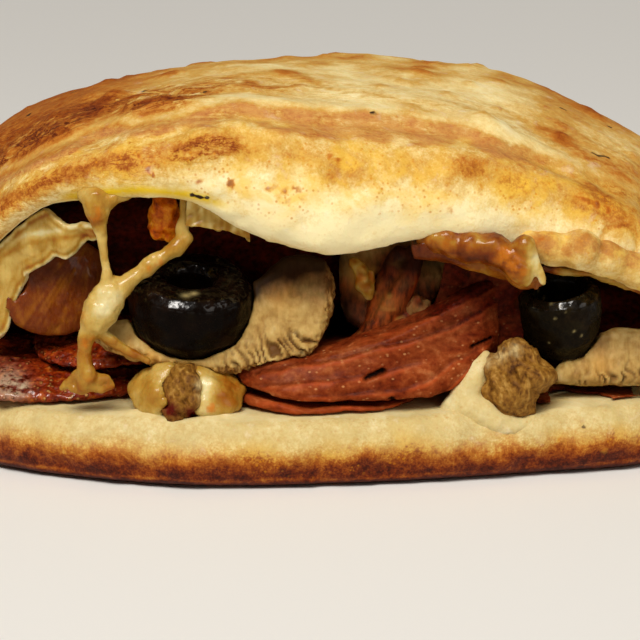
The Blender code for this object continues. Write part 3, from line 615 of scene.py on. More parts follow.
# %% How far the lid has baked
MOST_BAKED = 0.60       # past this the lid browns only slowly
brown_layers = rise(0.04, 0.14, layer_noise) * rise(0.34, 0.2, layer_noise)
pale_layers = rise(0.10, 0.0, np.abs(layer_noise))
fine_layers = rise(0.4, 0.9, thin_crests)
blister_marks = [(*place, 0.8 * radius, height) for *place, radius, height in blisters]
behind_top = rise(30.0, 60.0, depth_in)
wall = rise(34.0, 14.0, z) * rise(16.0, 26.0, depth_in)
lid_bake = 0.17 + 0.14 * coarse + 0.05 * small
lid_bake += 0.36 * rise(-14.0, -54.0, x + 5.0 * coarse + 2.0 * middling) + 0.17 * rise(26.0, 50.0, x)
lid_bake += wrinkle_zone * (0.09 + 0.29 * leftness) * (brown_layers - 0.55 * pale_layers + 0.40 * fine_layers)
lid_bake += 0.12 * wrinkle_zone * leftness + 0.04 * leftness
lid_bake += (0.22 + 0.18 * rise(20.0, 40.0, depth_in)) * spots(places, blister_marks, 0.3)
lid_bake += 0.16 * behind_top + 0.20 * behind_top * middling + 0.14 * wall
lid_bake = np.minimum(lid_bake, MOST_BAKED + 0.25 * (lid_bake - MOST_BAKED))
edge_line = bell(above_step, 0.4, 0.6) * near_front
lid_bake = lid_bake * (1.0 - 0.5 * edge_line) + 0.5 * 0.22 * edge_line
print("the lid has baked to", round(float(lid_bake.max()), 2), "at most")

# %% How far the base has baked, and all of it together
def laid_over(under, over, share):
    """The value over, where its share is 1, and the value under, where it is 0."""
    return under * (1.0 - share) + over * share


tray = rise(10.5, 0.0, z + 1.5 * middling + 0.9 * small + 0.5 * coarse)
rim_bake = 0.20 + 0.82 * tray ** 1.1 + 0.05 * coarse + 0.20 * ends
low_down = rise(22.0, 7.0, z + 3.0 * middling)
front_rim = rise(RIM_TOP, 11.0, z) * rise(12.0, 6.0, depth_in) * away_from_ends(x)
# The band is the groove under the ledge; its middling bake and pinkish-brown tint are painted shade.
band = rise(1.0, 1.08, wavy) * rise(0.1, -0.3, above_step) * near_front
bake = laid_over(lid_bake, np.maximum(0.34, rim_bake + 0.12), low_down)
bake = laid_over(bake, rim_bake, front_rim)
bake = laid_over(bake, face_bake, face)
bake = laid_over(bake, 0.38 + 0.12 * middling + 0.08 * small, band)
bake = np.where(inner, 0.12 + 0.1 * middling, bake)
bake = laid_over(bake, 0.72 + 0.22 * coarse, rise(0.6, 0.1, z))
crust_line = outer * bell(z - 0.5 * lumps(places, (9.0, 40.0, 40.0), 3.0), 1.7, 0.35)
bake = bake - 0.26 * crust_line * rise(6.0, 3.0, depth_in)
print("bake from", round(float(bake.min()), 2), "to", round(float(bake.max()), 2))

# %% [markdown]
# ## Marks and finish of the crust
# Char, toasted spots, yellow patches and brown clouds are listed where the picture shows them; the char
# marks also paint the dark slit under the lip, which is painted shade. The finish turns bake into a run of
# bread colours, then lays the marks over it in the order in which they would form.

# %% Marks on the crust
# Char marks; the last three paint the dark slit under the lip, which is painted shade.
CHAR_AND_SLIT_SHADE = [
    (28, 115, 0.8, 1), (73, 92, 0.9, 1), (146, 92, 0.7, 1), (205, 93, 0.7, 1), (373, 114, 0.6, 0.9),
    (468, 117, 0.8, 1), (473, 120, 0.7, 1), (478, 123, 0.6, 1), (488, 106, 0.7, 1), (562, 109, 0.7, 1),
    (594, 156, 0.8, 1), (605, 158, 0.7, 1), (608, 126, 0.6, 1), (600, 161, 0.5, 0.8), (584, 427, 0.45, 0.9),
    (200, 196, 0.5, 1), (207, 197, 0.5, 1), (193, 195, 0.5, 1)]
ORANGE = [
    (268, 190, 0.6, 0.8), (276, 186, 0.5, 0.9), (284, 191, 0.65, 0.8), (292, 187, 0.5, 0.7),
    (277, 197, 0.55, 0.7), (299, 190, 0.5, 0.9), (303, 199, 0.5, 0.7), (287, 201, 0.5, 0.8),
    (230, 184, 0.7, 1.2), (247, 188, 0.6, 0.6), (380, 215, 0.4, 0.8), (395, 215, 0.4, 0.8),
    (403, 210, 0.45, 0.8), (449, 210, 0.6, 0.9), (446, 186, 0.5, 0.8), (424, 190, 0.45, 0.7),
    (578, 196, 1.0, 0.7), (588, 201, 1.0, 0.8), (598, 205, 1.0, 0.8), (608, 210, 0.9, 0.8),
    (528, 192, 1.2, 0.5), (330, 157, 1.0, 0.7), (338, 160, 0.6, 0.7), (545, 186, 0.8, 0.5),
    (505, 178, 0.7, 0.5), (572, 243, 1.3, 0.8), (583, 240, 1.3, 0.8), (590, 247, 1.0, 0.7),
    (560, 440, 0.6, 0.7), (568, 443, 0.5, 0.7), (605, 450, 0.6, 0.7), (138, 156, 0.5, 0.9),
    (143, 162, 0.55, 1), (148, 168, 0.6, 1), (153, 175, 0.5, 0.9), (199, 181, 0.6, 0.8),
    (214, 174, 0.6, 0.5), (365, 178, 0.9, 0.5), (480, 188, 0.8, 0.5), (512, 196, 0.7, 0.5)]
YELLOW = [
    (280, 195, 4.0, 0.8), (240, 188, 3.0, 0.6), (420, 198, 5.0, 0.5), (530, 192, 4.5, 0.8),
    (350, 172, 6.0, 0.5), (590, 205, 4.0, 0.7), (200, 185, 4.0, 0.5), (290, 430, 7.0, 0.5),
    (450, 415, 5.0, 0.35), (160, 430, 6.0, 0.3), (440, 240, 4.0, 0.5), (110, 185, 5.0, 0.6),
    (60, 428, 5.0, 0.5), (360, 432, 6.0, 0.6), (410, 428, 5.0, 0.6), (250, 446, 5.0, 0.4),
    (620, 425, 5.0, 0.6), (20, 412, 4.0, 0.4), (560, 432, 4.0, 0.4)]
BROWN = [
    (90, 112, 4.0, 0.15), (160, 112, 4.0, 0.15), (560, 140, 3.0, 0.2), (600, 190, 3.5, 0.2),
    (470, 165, 2.5, 0.2)]
YELLOW_EDGE = [(55, 200), (80, 197), (110, 194), (140, 192), (165, 194), (190, 197), (206, 201), (230, 209)]
edge_down = np.interp(across, *zip(*YELLOW_EDGE))
bright_edge = bell(down - edge_down, -2.0, 4.6) * rise(50.0, 85.0, across) * rise(240.0, 205.0, across)
bright_edge = bright_edge * rise(-38.0, -42.0, y)
char, orange, brown = (spots_seen(places, dough_tree, marks, 0.6) * outer
                       for marks in (CHAR_AND_SLIT_SHADE, ORANGE, BROWN))
yellow = spots_seen(places, dough_tree, YELLOW, 0.5) * outer + 0.30 * face * rise(0.35, 0.7, up_the_face)
layered = wrinkle_zone * (0.2 + 0.8 * leftness) + 0.3 * band + 0.45 * crinkled + 0.35 * face * is_left
print("marks:", len(CHAR_AND_SLIT_SHADE) + len(ORANGE) + len(YELLOW) + len(BROWN))

# %% Finish of the crust
bread = Finish("baked crust", {"Specular IOR Level": 0.16, "Subsurface Weight": 0.06,
                               "Subsurface Scale": 2.0 * MM})
fine, broad, grain = bread.noise(1.1, 6.0), bread.noise(4.5, 5.0, wander=0.6), bread.noise(0.35, 3.0)
streaky = bread.noise(1.5, 6.0, (0.22, 0.8, 1.0), rough=0.65, wander=0.5)
flaky, mottled, golden, toasted = (bread.painted(name) for name in ("layered", "mottled", "yellow", "orange"))
seams = streaky.rising(0.455, 0.49) * (1.0 - streaky.rising(0.49, 0.525))
browned = (bread.painted("bake") + bread.painted("brown") + 0.26 * (broad - 0.5)
           + (0.26 + 0.34 * mottled) * (fine - 0.5) + (0.12 + 0.36 * mottled) * (grain - 0.5)
           + flaky * ((streaky - 0.5) + 0.4 * (fine - 0.5) + 0.34 * seams))
bread.tone = bread.ramp(browned, [(0.0, (250, 236, 184)), (0.18, (234, 208, 140)), (0.34, (208, 162, 78)),
                                  (0.50, (184, 114, 36)), (0.68, (148, 72, 12)), (0.84, (106, 38, 4)),
                                  (1.0, (62, 17, 2))])
bread.tint(0.85 * golden * broad.rising(0.35, 0.62) * (1.0 - browned.rising(0.4, 0.65)), (240, 194, 66))
speckles = (1.0 - bread.cells(0.85).rising(0.12, 0.36)) * bread.noise(2.6).rising(0.42, 0.56)
bread.tint(speckles * golden.rising(0.1, 0.45) * 0.7, (206, 132, 16))
bread.tint(bread.painted("bright"), (246, 206, 30))
bread.tint(bread.painted("cream") * (0.3 + 0.7 * broad), (188, 172, 122))
# Painted shade in the groove under the ledge.
bread.tint(bread.painted("band") * broad.rising(0.2, 0.6) * 0.6, (192, 132, 80))
blotches = toasted + 0.8 * (fine - 0.5)
bread.tint(blotches.rising(0.15, 0.7) * toasted.rising(0.05, 0.2) * 0.85,
           bread.ramp(blotches, [(0.3, (220, 162, 50)), (0.6, (186, 102, 10)), (0.9, (136, 58, 6))]))
# Char, and painted shade in the slit under the lip.
bread.tint(bread.painted("char").rising(0.3, 0.6), (48, 26, 14))
flour = bread.noise(2.2, 5.0).rising(0.58, 0.76) * (1.0 - browned.rising(0.3, 0.6))
bread.tint(flour * 0.35, (250, 240, 212))
bumps = bread.relief(streaky * flaky, 0.9, bread.relief(fine, 0.13, bread.relief(grain, 0.05)))
bread.feed(Roughness=0.50 + 0.22 * fine, Normal=bumps)
wear(crust, bread, "baked_crust", bake=bake, band=band * rise(44.0, 26.0, x), char=char, orange=orange,
     yellow=yellow, bright=bright_edge, cream=front_rim * rise(5.0, 9.6, z + 1.2 * middling),
     brown=brown + 0.12 * crinkled + 0.16 * swirl, layered=layered * outer,
     mottled=(front_rim + 0.45 * face + 0.5 * low_down * (1.0 - front_rim)) * outer)

# %% [markdown]
# ## Black olives
# A pitted olive cut across is a thick ring with a wet, dark, slightly wrinkled skin. Its blackness comes from
# the finish, its life from a thin clear coat that breaks the light into arcs. A glint in the left olive's
# hole and the bright line along the right olive's rim are painted highlights.

# %% Olives
# Pale dots on the right olive, and painted highlights: a glint in the left hole and a line along the right
# rim.
OLIVE_DOTS_AND_GLINTS = [
    (555, 319, 0.18, 0.9), (574, 331, 0.2, 1), (581, 335, 0.18, 1), (534, 350, 0.18, 0.9),
    (549, 343, 0.14, 0.8), (566, 312, 0.14, 0.7), (186, 296, 0.7, 0.9), (194, 294, 0.6, 0.9),
    (533, 276, 0.3, 0.8), (536, 284, 0.32, 0.9), (539, 291, 0.34, 1), (544, 298, 0.3, 0.9),
    (551, 303, 0.25, 0.7), (560, 306, 0.2, 0.6)]
brined = Finish("black olive", {"Specular IOR Level": 0.04, "Coat Roughness": 0.05})
slick, spotty = brined.noise(1.6, 5.0), brined.noise(5.0, 3.0)
brined.tone = brined.ramp(0.6 * spotty + 0.4 * slick,
                          [(0.34, (4, 2, 1)), (0.55, (12, 5, 2)), (0.80, (36, 20, 10))])
brined.tint(brined.painted("rim") * 0.8, brined.ramp(slick, [(0.3, (18, 13, 5)), (0.7, (44, 36, 17))]))
# Pale dots and painted highlights.
brined.tint(brined.painted("dots"), (150, 134, 88))
broken_film = brined.painted("wet") * brined.noise(0.9, 4.0).rising(0.44, 0.60)
brined.feed(Roughness=0.14 + 0.28 * slick, Coat_Weight=broken_film,
            Normal=brined.relief(slick, 0.22, brined.relief(brined.noise(0.6, 2.0), 0.05)))
for side, cell in (("left", 0.34), ("right", 0.3)):
    olive = skin_of("olive_" + side, "olive_ring_" + side, cell, rounds=4)
    places = places_of(olive)
    dents = 0.30 * lumps(places, 5.0, 2.0) + 0.09 * lumps(places, 1.7, 1.0) + 0.035 * lumps(places, 0.8, 4.0)
    push(olive, dents)
    greenish = 0.35 + 0.5 * rise(-0.1, 0.4, lumps(places, 3.0, 5.0))
    wear(olive, brined, "black_olive", dots=spots_seen(places, tree_of("olive_" + side), OLIVE_DOTS_AND_GLINTS),
         rim=greenish * (side == "right") + 0.3 * rise(0.3, 0.6, lumps(places, 4.0, 5.0)))

# %% [markdown]
# ## Mushrooms
# A slice of mushroom is cream flesh with a thin brown skin round the cap and a comb of gills beneath it. The
# gills are grooves across the slice, deepest next to the rim, and both follow a line of the picture along the
# cap's edge. The parts that lie under the lid get painted shade, which the brown of the juice marks
# deepens at the top of the left slice; elsewhere the juice marks are stains.

# %% Mushroom finish
stewed = Finish("mushroom", {"Specular IOR Level": 0.1, "Subsurface Weight": 0.1,
                             "Subsurface Scale": 2.0 * MM})
flesh, threads = stewed.noise(2.6, 5.0), stewed.noise(0.8, 4.0, (1.0, 1.0, 0.3))
stewed.tone = stewed.ramp(0.5 * flesh + 0.3 * threads + 0.2 * stewed.noise(6.0, 2.0),
                          [(0.32, (128, 92, 42)), (0.43, (160, 124, 64)), (0.54, (184, 152, 88)),
                           (0.72, (210, 184, 126))])
cap_skin = stewed.ramp(threads, [(0.38, (86, 48, 12)), (0.5, (142, 96, 36)), (0.60, (200, 162, 90))])
juice_and_shade_tone = stewed.ramp(threads, [(0.35, (62, 14, 3)), (0.65, (148, 58, 16))])
stewed.tint(stewed.painted("gills") * 0.9, (88, 50, 16))
stewed.tint(stewed.painted("skin") * 0.9, cap_skin)
# Juice stains; at the top of the left slice they are the brown of its painted shade.
stewed.tint(stewed.painted("juice"), juice_and_shade_tone)
stewed.tint(stewed.painted("golden"), (226, 168, 76))
stewed.tint(stewed.painted("shade"), (30, 10, 2))
stewed.feed(Roughness=0.38 + 0.3 * flesh, Normal=stewed.relief(flesh, 0.2, stewed.relief(threads, 0.1)))

# %% What each slice of mushroom shows
SLICES = {
    "left": {
        "rim": [
            (100, 335), (115, 345), (135, 356), (165, 366), (210, 371), (250, 371), (285, 364), (312, 354),
            (326, 330), (332, 300), (332, 262)],
        "skin_width": 1.15,
        "gills": [
            (262, 358, 2.4, 0.9), (280, 354, 2.6, 1.0), (298, 347, 2.4, 1.0), (310, 336, 1.6, 0.7),
            (235, 364, 2.0, 0.6)],
        "shades": [
            (252, 280, 2.6, 0.9), (262, 266, 3.0, 0.95), (280, 258, 3.0, 0.95), (300, 253, 3.0, 0.9),
            (252, 294, 1.4, 0.6), (318, 258, 2.6, 0.8), (301, 352, 0.4, 0.9), (255, 256, 3.0, 0.9),
            (300, 270, 4.0, 0.45), (328, 285, 2.0, 0.35)],
        # Here the juice marks lie at the top, under the lid, and deepen its painted shade.
        "juices": [
            (322, 296, 2.0, 0.2), (308, 276, 3.6, 0.35), (326, 276, 2.4, 0.35), (280, 278, 3.4, 0.35),
            (262, 288, 2.4, 0.3)],
        "golden": [(150, 360, 1.6, 0.6), (180, 368, 1.6, 0.6), (125, 350, 1.4, 0.6), (285, 300, 2.2, 0.2)]},
    "middle": {
        "rim": [(372, 330), (392, 332), (415, 330), (432, 318), (442, 295), (446, 270)],
        "skin_width": 1.2,
        "gills": [(416, 304, 1.5, 1.0), (422, 316, 1.4, 1.0), (412, 324, 1.2, 0.9)],
        "shades": [
            (343, 258, 2.0, 0.7), (405, 252, 2.6, 0.7), (436, 256, 2.4, 0.8), (348, 318, 2.4, 0.8),
            (352, 336, 2.4, 0.8), (377, 276, 0.6, 0.8), (382, 300, 0.7, 0.8), (345, 300, 1.6, 0.6),
            (408, 272, 0.5, 0.9), (383, 332, 0.6, 0.9), (447, 300, 1.2, 0.8), (432, 292, 0.6, 0.6)],
        "juices": [
            (392, 276, 2.4, 1.0), (388, 298, 2.4, 1.0), (400, 264, 2.2, 0.9), (380, 318, 2.6, 1.0),
            (402, 290, 1.8, 0.9), (372, 335, 2.6, 1.0), (396, 322, 2.2, 1.0), (362, 312, 2.2, 0.8),
            (395, 290, 9.0, 0.7), (347, 290, 3.0, 0.5), (436, 292, 3.0, 0.35)],
        "golden": [
            (358, 270, 1.5, 0.8), (364, 282, 1.6, 0.9), (367, 292, 1.0, 0.8), (372, 272, 0.7, 0.8),
            (412, 300, 0.9, 0.5), (424, 308, 0.9, 0.5)],
        "pushes": [
            (358, 268, 1.0, 0.7), (366, 280, 0.9, 0.8), (368, 293, 0.8, 0.6), (361, 288, 0.6, -0.5),
            (377, 278, 0.7, -1.3), (382, 302, 0.7, -1.2), (394, 275, 1.2, 0.8), (390, 296, 1.2, 0.8),
            (402, 270, 0.5, -0.6), (406, 285, 0.6, -0.9), (396, 326, 1.3, 1.0), (376, 330, 1.2, 0.6),
            (386, 318, 0.6, -0.6), (416, 300, 1.0, 0.5), (413, 322, 0.5, -0.7)]},
    "right": {
        "rim": [(552, 384), (575, 394), (600, 398), (640, 398), (700, 396)],
        "skin_width": 0.7,
        "gills": [
            (586, 384, 1.8, 0.5), (602, 380, 1.8, 0.5), (622, 378, 2.0, 0.55), (640, 376, 2.0, 0.5),
            (612, 388, 1.6, 0.5)],
        "shades": [(552, 372, 1.2, 0.3), (600, 338, 2.0, 0.5), (630, 335, 2.5, 0.4)],
        "juices": [(600, 350, 3.0, 0.25)],
        "golden": [(600, 366, 2.0, 0.3)]}}
print("slices of mushroom:", ", ".join(SLICES))

# %% Slices of mushroom
GILL_SPACING, GILL_DEPTH = 1.5, 0.95


def mushroom(side, rim, skin_width, gills, shades, juices, golden=(), pushes=()):
    """A slice whose cap edge follows the rim, with a comb of gills in some places."""
    piece = skin_of("mushroom_" + side, "mushroom_slice_" + side, 0.3)
    places = places_of(piece)
    shown = np.stack(picture_of(places), axis=1)
    far, passed = along(shown / POINTS_PER_MM, np.array(rim) / POINTS_PER_MM)
    facing = rise(0.1, 0.5, -outward(piece)[:, 1])
    comb = np.sin(2.0 * math.pi * (passed / GILL_SPACING + 1.1 * lumps(places, 2.4) + 0.16 * far))
    combed = np.clip(picture_spots(places, gills) * 1.3, 0.0, 1.0) * facing * rise(0.1, 0.95, comb)
    combed = combed * rise(-0.45, 0.1, lumps(places, 1.8, 9.0))
    ripple = 0.26 * lumps(places, 3.0, 1.0) + 0.14 * lumps(places, 1.2, 2.0)
    crinkle = 0.40 * folds(places, (1.3, 3.0, 1.0), 4.0) - 0.1
    crinkle = crinkle * rise(skin_width * 1.6, skin_width * 0.4, far)
    push(piece, ripple + crinkle + picture_spots(places, pushes) * facing - GILL_DEPTH * combed)
    skin = rise(skin_width, skin_width * 0.4, far + 0.8 * lumps(places, 1.6, 6.0))
    wear(piece, stewed, "mushroom", gills=np.sqrt(combed),
         skin=np.clip(skin * (0.85 + 0.5 * lumps(places, 1.6, 3.0)), 0.0, 1.0),
         shade=np.clip(picture_spots(places, shades), 0.0, 0.95),
         juice=np.clip(picture_spots(places, juices), 0.0, 0.9),
         golden=np.clip(picture_spots(places, golden), 0.0, 0.8))


for side, look in SLICES.items():
    mushroom(side, **look)

# %% [markdown]
# ## Ham
# Thin moist slices, folded and squeezed: one lies over the next, so each has an edge that catches the light
# with a dark line behind it; both are painted, a highlight on the edge and shade behind it. The edges are
# ledges pressed into the solid along lines of the picture. Painted shade also darkens the ham towards the
# back, under the lid, where its ruffles dip, and in its slits.

# %% Ham finish
cured = Finish("ham", {"Specular IOR Level": 0.03, "Subsurface Weight": 0.1, "Subsurface Scale": 2.0 * MM,
                       "Coat Roughness": 0.3})
streaks, marbling = cured.noise(2.4, 6.0, (0.45, 0.6, 1.0), wander=0.8), cured.noise(5.0, 3.0)
fibres, slit = cured.noise(0.8, 4.0, (0.8, 0.8, 1.0)), cured.painted("slit")
cured.tone = cured.ramp(0.4 * streaks + 0.3 * fibres + 0.3 * marbling,
                        [(0.36, (86, 24, 6)), (0.45, (120, 46, 15)), (0.54, (146, 68, 29)),
                         (0.64, (178, 104, 58))])
fat = 1.0 - cured.cells(1.0, (0.7, 0.7, 1.0)).rising(0.10, 0.24)
cured.tint(fat * cured.noise(2.6).rising(0.46, 0.60) * 0.7, (204, 142, 88))
# Painted highlight along the slices' edges and on the front of the lower slice.
cured.tint(cured.painted("edge") * 0.5, (190, 82, 36))
# Painted shade: towards the back, under the lid, behind the edges and in the ruffles' troughs.
cured.tint(cured.painted("dark"), cured.ramp(fibres, [(0.35, (36, 6, 2)), (0.70, (84, 18, 6))]))
# Painted shade inside the open cuts.
cured.tint(slit, (16, 4, 2))
cured.feed(Roughness=0.42 + 0.3 * streaks, Normal=cured.relief(streaks, 0.3, cured.relief(fibres, 0.14)),
           Coat_Weight=0.05 * cured.painted("wet") * (1.0 - slit))

# %% Edges where one slice lies over the next
HAM_EDGES = [
    ([(236, 384), (262, 374), (300, 366), (340, 361), (375, 350), (410, 343), (450, 330), (480, 315),
      (505, 296)], 0.7),
    ([(335, 350), (370, 338), (410, 326), (450, 309), (480, 296), (505, 280)], 0.45),
    ([(300, 398), (350, 396), (395, 392), (425, 384), (450, 366), (478, 350), (505, 336)], 0.4),
    ([(255, 388), (300, 384), (350, 380), (385, 374), (420, 364)], 0.3),
    ([(430, 404), (450, 388), (472, 366), (505, 352)], 0.4)]
SLIT_Y = -46.0      # where a slit hangs if the line of sight misses the ham
HAM_SLITS = [([(366, 379), (375, 375), (383, 371)], 0.6), ([(392, 400), (402, 403), (415, 407)], 0.7),
             ([(472, 347), (482, 343), (492, 338)], 0.35)]


def ledges(places, edges):
    """How far slices step back above their edges, painted highlights there and painted shade behind."""
    across, down = picture_of(places)
    back, light, shadow = (np.zeros(len(places)) for _ in range(3))
    for path, height in edges:
        line = np.interp(across, *zip(*path))
        above = (line - down) / POINTS_PER_MM + 0.25 * lumps(places, 3.0, height)
        over, (first, last) = np.maximum(above, 0.0), (path[0][0], path[-1][0])
        reach = rise(first - 8.0, first + 14.0, across) * rise(last + 8.0, last - 14.0, across)
        back += height * reach * rise(-0.1, 0.35, above) * np.exp(-over / 2.6)
        light += reach * bell(above, -0.35, 0.35) * rise(-0.4, 0.3, lumps(places, 3.0, 5.0))
        shadow += reach * rise(-0.1, 0.2, above) * np.exp(-over / 0.8)
    return back, np.clip(light, 0.0, 1.0), np.clip(shadow, 0.0, 1.0)


def slits_in(places, tree, slits):
    """Short open cuts along lines of the picture, each with its width in millimetres."""
    cut = np.zeros(len(places))
    for path, width in slits:
        line = [seen(tree, a, d) or hung_at(a, d, SLIT_Y) for a, d in path]
        cut += rise(width, width * 0.3, along(places, line)[0] + 0.2 * lumps(places, 0.8, 2.0))
    return np.clip(cut, 0.0, 1.0)


print("edges:", len(HAM_EDGES), "slits:", len(HAM_SLITS))

# %% Ham
HAM_SHOWN_TO = -36.0        # the ham shows close up in front of this y


def ham(node, name, cell, ruffle, layer, dark, edges=(), slits=(), lit=0.0):
    """A slice or fold of ham: ruffles and their spacing in mm, painted shade and painted front highlight."""
    piece = skin_of(node, name, cell)
    if edges:
        split_cells(piece, lambda p: p.y < HAM_SHOWN_TO)
        smoothed(piece, 1)
    places = places_of(piece)
    x, y, z = places.T
    up_the_layers = (z - 0.10 * x) / layer + 0.6 * lumps(places, 9.0)
    rows = lumps(np.stack([x / 16.0, y / 22.0, up_the_layers], axis=1), 1.0)
    back, light, shadow = ledges(places, edges)
    cut = slits_in(places, tree_of(node), slits)
    wave = ruffle * 2.0 * rows + 0.20 * lumps(places, 3.0, 3.0) + 0.08 * lumps(places, 1.4, 6.0)
    front = rise(-30.0, -38.0, y)
    moved = places + outward(piece) * wave[:, None]
    moved[:, 1] += back * front + 0.9 * cut
    put_places(piece, moved)
    upper = rise(20.0, 31.0, z) if edges else 0.0
    # Painted shade: each piece's own amount, more towards the back, behind the edges and under the lid.
    shade_sum = dark + 0.55 * rise(-44.0, -30.0, y) + 0.55 * shadow * front + 0.65 * upper
    wear(piece, cured, "ham", dark=np.clip(shade_sum + 0.2 * rise(0.1, -0.3, rows), 0.0, 0.97), slit=cut,
         edge=(light + lit * (0.5 + 1.2 * lumps(places, (3.0, 3.0, 0.8), 5.0))) * front)


ham("ham_slice_upper", "ham_upper", 0.7, 0.15, 3.6, 0.0, HAM_EDGES, HAM_SLITS)
ham("ham_slice_lower", "ham_lower", 0.45, 0.10, 1.4, -0.55, lit=0.9)
ham("ham_slice_right", "ham_right", 0.45, 0.18, 1.4, 0.10)
ham("ham_folds", "ham_behind", 0.9, 1.0, 4.0, 0.72)

# %% [markdown]
# ## Pepperoni, sausage and pepper
# Pepperoni is red-brown, pitted and oily. Sausage is a crumbly knot of brown fibres. The roast pepper is a
# glossy orange-red scrap.

# %% Pepperoni
# Golden bubbles of fat, partly painted highlights.
GREASE_AND_HIGHLIGHTS = [
    (75, 385, 2.2, 0.9), (95, 380, 2.2, 0.9), (110, 388, 1.6, 0.8), (45, 392, 1.6, 0.6),
    (60, 372, 1.4, 0.5), (20, 370, 1.4, 0.4), (130, 375, 1.6, 0.5)]
GREY = [(8, 384, 2.4, 0.9), (22, 388, 1.4, 0.7)]
spiced = Finish("pepperoni", {"Specular IOR Level": 0.12, "Coat Roughness": 0.1})
meat, specks = spiced.noise(1.5, 6.0), spiced.noise(0.6, 3.0)
spiced.tone = spiced.ramp(0.7 * meat + 0.3 * specks, [(0.34, (58, 9, 2)), (0.45, (108, 28, 4)),
                                                      (0.56, (142, 48, 8)), (0.70, (196, 106, 30))])
bubbles = 1.0 - spiced.cells(1.2).rising(0.14, 0.34)
# Bubbles of fat, partly painted highlights.
spiced.tint(bubbles * spiced.painted("greasy"), (222, 168, 92))
spiced.tint(0.7 * spiced.painted("pale") * meat.rising(0.35, 0.55), (196, 180, 150))
bumps = spiced.relief(bubbles, 0.35, spiced.relief(meat, 0.6, spiced.relief(specks, 0.2)))
spiced.feed(Roughness=0.14 + 0.4 * specks, Normal=bumps, Coat_Weight=0.7 * spiced.painted("wet"))
for node, name, in_front in (("pepperoni_front", "pepperoni_slice", 1.0),
                             ("pepperoni_behind", "pepperoni_slice_behind", 0.0)):
    piece = skin_of(node, name, 0.36)
    places = places_of(piece)
    pits = 0.50 * lumps(places, 2.6, 1.0) + 0.30 * (folds(places, 1.7, 2.0) - 0.5) + 0.12 * lumps(places, 0.8)
    push(piece, pits)
    wear(piece, spiced, "pepperoni", pale=picture_spots(places, GREY) * in_front,
         greasy=0.12 + np.clip(picture_spots(places, GREASE_AND_HIGHLIGHTS), 0.0, 1.0) * in_front)

# %% Sausage
SAUSAGE_RED = [
    (166, 406, 1.2, 1.2), (195, 418, 1.2, 1.2), (190, 412, 0.8, 1), (172, 412, 0.9, 1),
    (163, 398, 0.7, 0.9)]
# The first three marks paint a highlight on the small bit; the rest are pale fat along the chunk's edge.
SAUSAGE_FAT_AND_HIGHLIGHT = [
    (201, 384, 0.8, 0.9), (204, 396, 0.8, 0.9), (203, 406, 0.6, 0.7), (515, 350, 0.9, 0.7),
    (500, 356, 0.9, 0.6), (486, 362, 0.8, 0.6), (478, 376, 0.7, 0.5)]
SAUSAGE_PUSH = [
    (546, 378, 1.8, 1.3), (515, 348, 1.6, 0.8), (482, 364, 1.8, 1.0), (548, 405, 1.8, -1.6),
    (540, 356, 1.4, -0.4), (498, 350, 1.4, -0.3), (495, 425, 1.6, 0.7), (476, 398, 1.4, -0.5)]
LEAN = math.radians(35.0)       # the fibres of the meat lean this far
minced = Finish("sausage", {"Specular IOR Level": 0.12})
crumb, stringy = minced.noise(1.0, 6.0), minced.noise(1.8, 5.0, (1.0, 1.0, 0.35), wander=0.8)
minced.tone = minced.ramp(0.5 * crumb + 0.5 * stringy, [(0.36, (72, 40, 10)), (0.45, (118, 76, 24)),
                                                        (0.54, (148, 104, 38)), (0.66, (190, 146, 74))])
minced.tint(minced.painted("red") * 0.9, (90, 14, 4))
# Pale fat, and a painted highlight on the small bit.
minced.tint(minced.painted("pale") * 0.9, (222, 198, 140))
minced.feed(Roughness=0.34 + 0.35 * crumb, Normal=minced.relief(crumb, 0.35, minced.relief(stringy, 0.55)))
for node, name, depth, swell in (("sausage_left", "sausage_bit", 0.6, 0.3),
                                 ("sausage_right", "sausage_chunk", 0.55, 0.0)):
    piece = skin_of(node, name, 0.22)
    places = places_of(piece)
    x, y, z = places.T
    across, upward = x * math.cos(LEAN) + z * math.sin(LEAN), z * math.cos(LEAN) - x * math.sin(LEAN)
    leant = np.stack([across, y, upward], axis=1)
    crags = (depth * (folds(leant, (1.5, 3.5, 7.0), 1.0) - 0.6) + 0.9 * depth * lumps(places, 4.5, 6.0)
             + 0.35 * depth * lumps(leant, (0.7, 1.4, 2.4), 3.0))
    push(piece, crags + picture_spots(places, SAUSAGE_PUSH, 0.0) + swell)
    smoothed(piece, 1)
    places = places_of(piece)
    wear(piece, minced, "sausage", red=picture_spots(places, SAUSAGE_RED, 0.5),
         pale=picture_spots(places, SAUSAGE_FAT_AND_HIGHLIGHT, 0.6))

# %% Roast pepper
roasted = Finish("roast pepper", {"Specular IOR Level": 0.1, "Coat Roughness": 0.1})
pulp = roasted.noise(1.6, 5.0)
roasted.tone = roasted.ramp(pulp, [(0.30, (112, 36, 2)), (0.48, (190, 86, 4)), (0.64, (220, 136, 20)),
                                   (0.82, (238, 186, 96))])
roasted.feed(Roughness=0.15 + 0.3 * pulp, Normal=roasted.relief(pulp, 0.5),
             Coat_Weight=0.6 * roasted.painted("wet"))
pepper = skin_of("pepper_chunk", "pepper_scrap", 0.22)
push(pepper, 0.7 * lumps(places_of(pepper), 2.4, 1.0) + 0.3 * lumps(places_of(pepper), 1.1))
wear(pepper, roasted, "roast_pepper")

# %% [markdown]
# ## Melted cheese
# Cheese sags, stretches into strings and browns where it blisters. One finish serves every piece: painted
# browning turns the cream to tan and amber, and a clear coat makes it look molten.

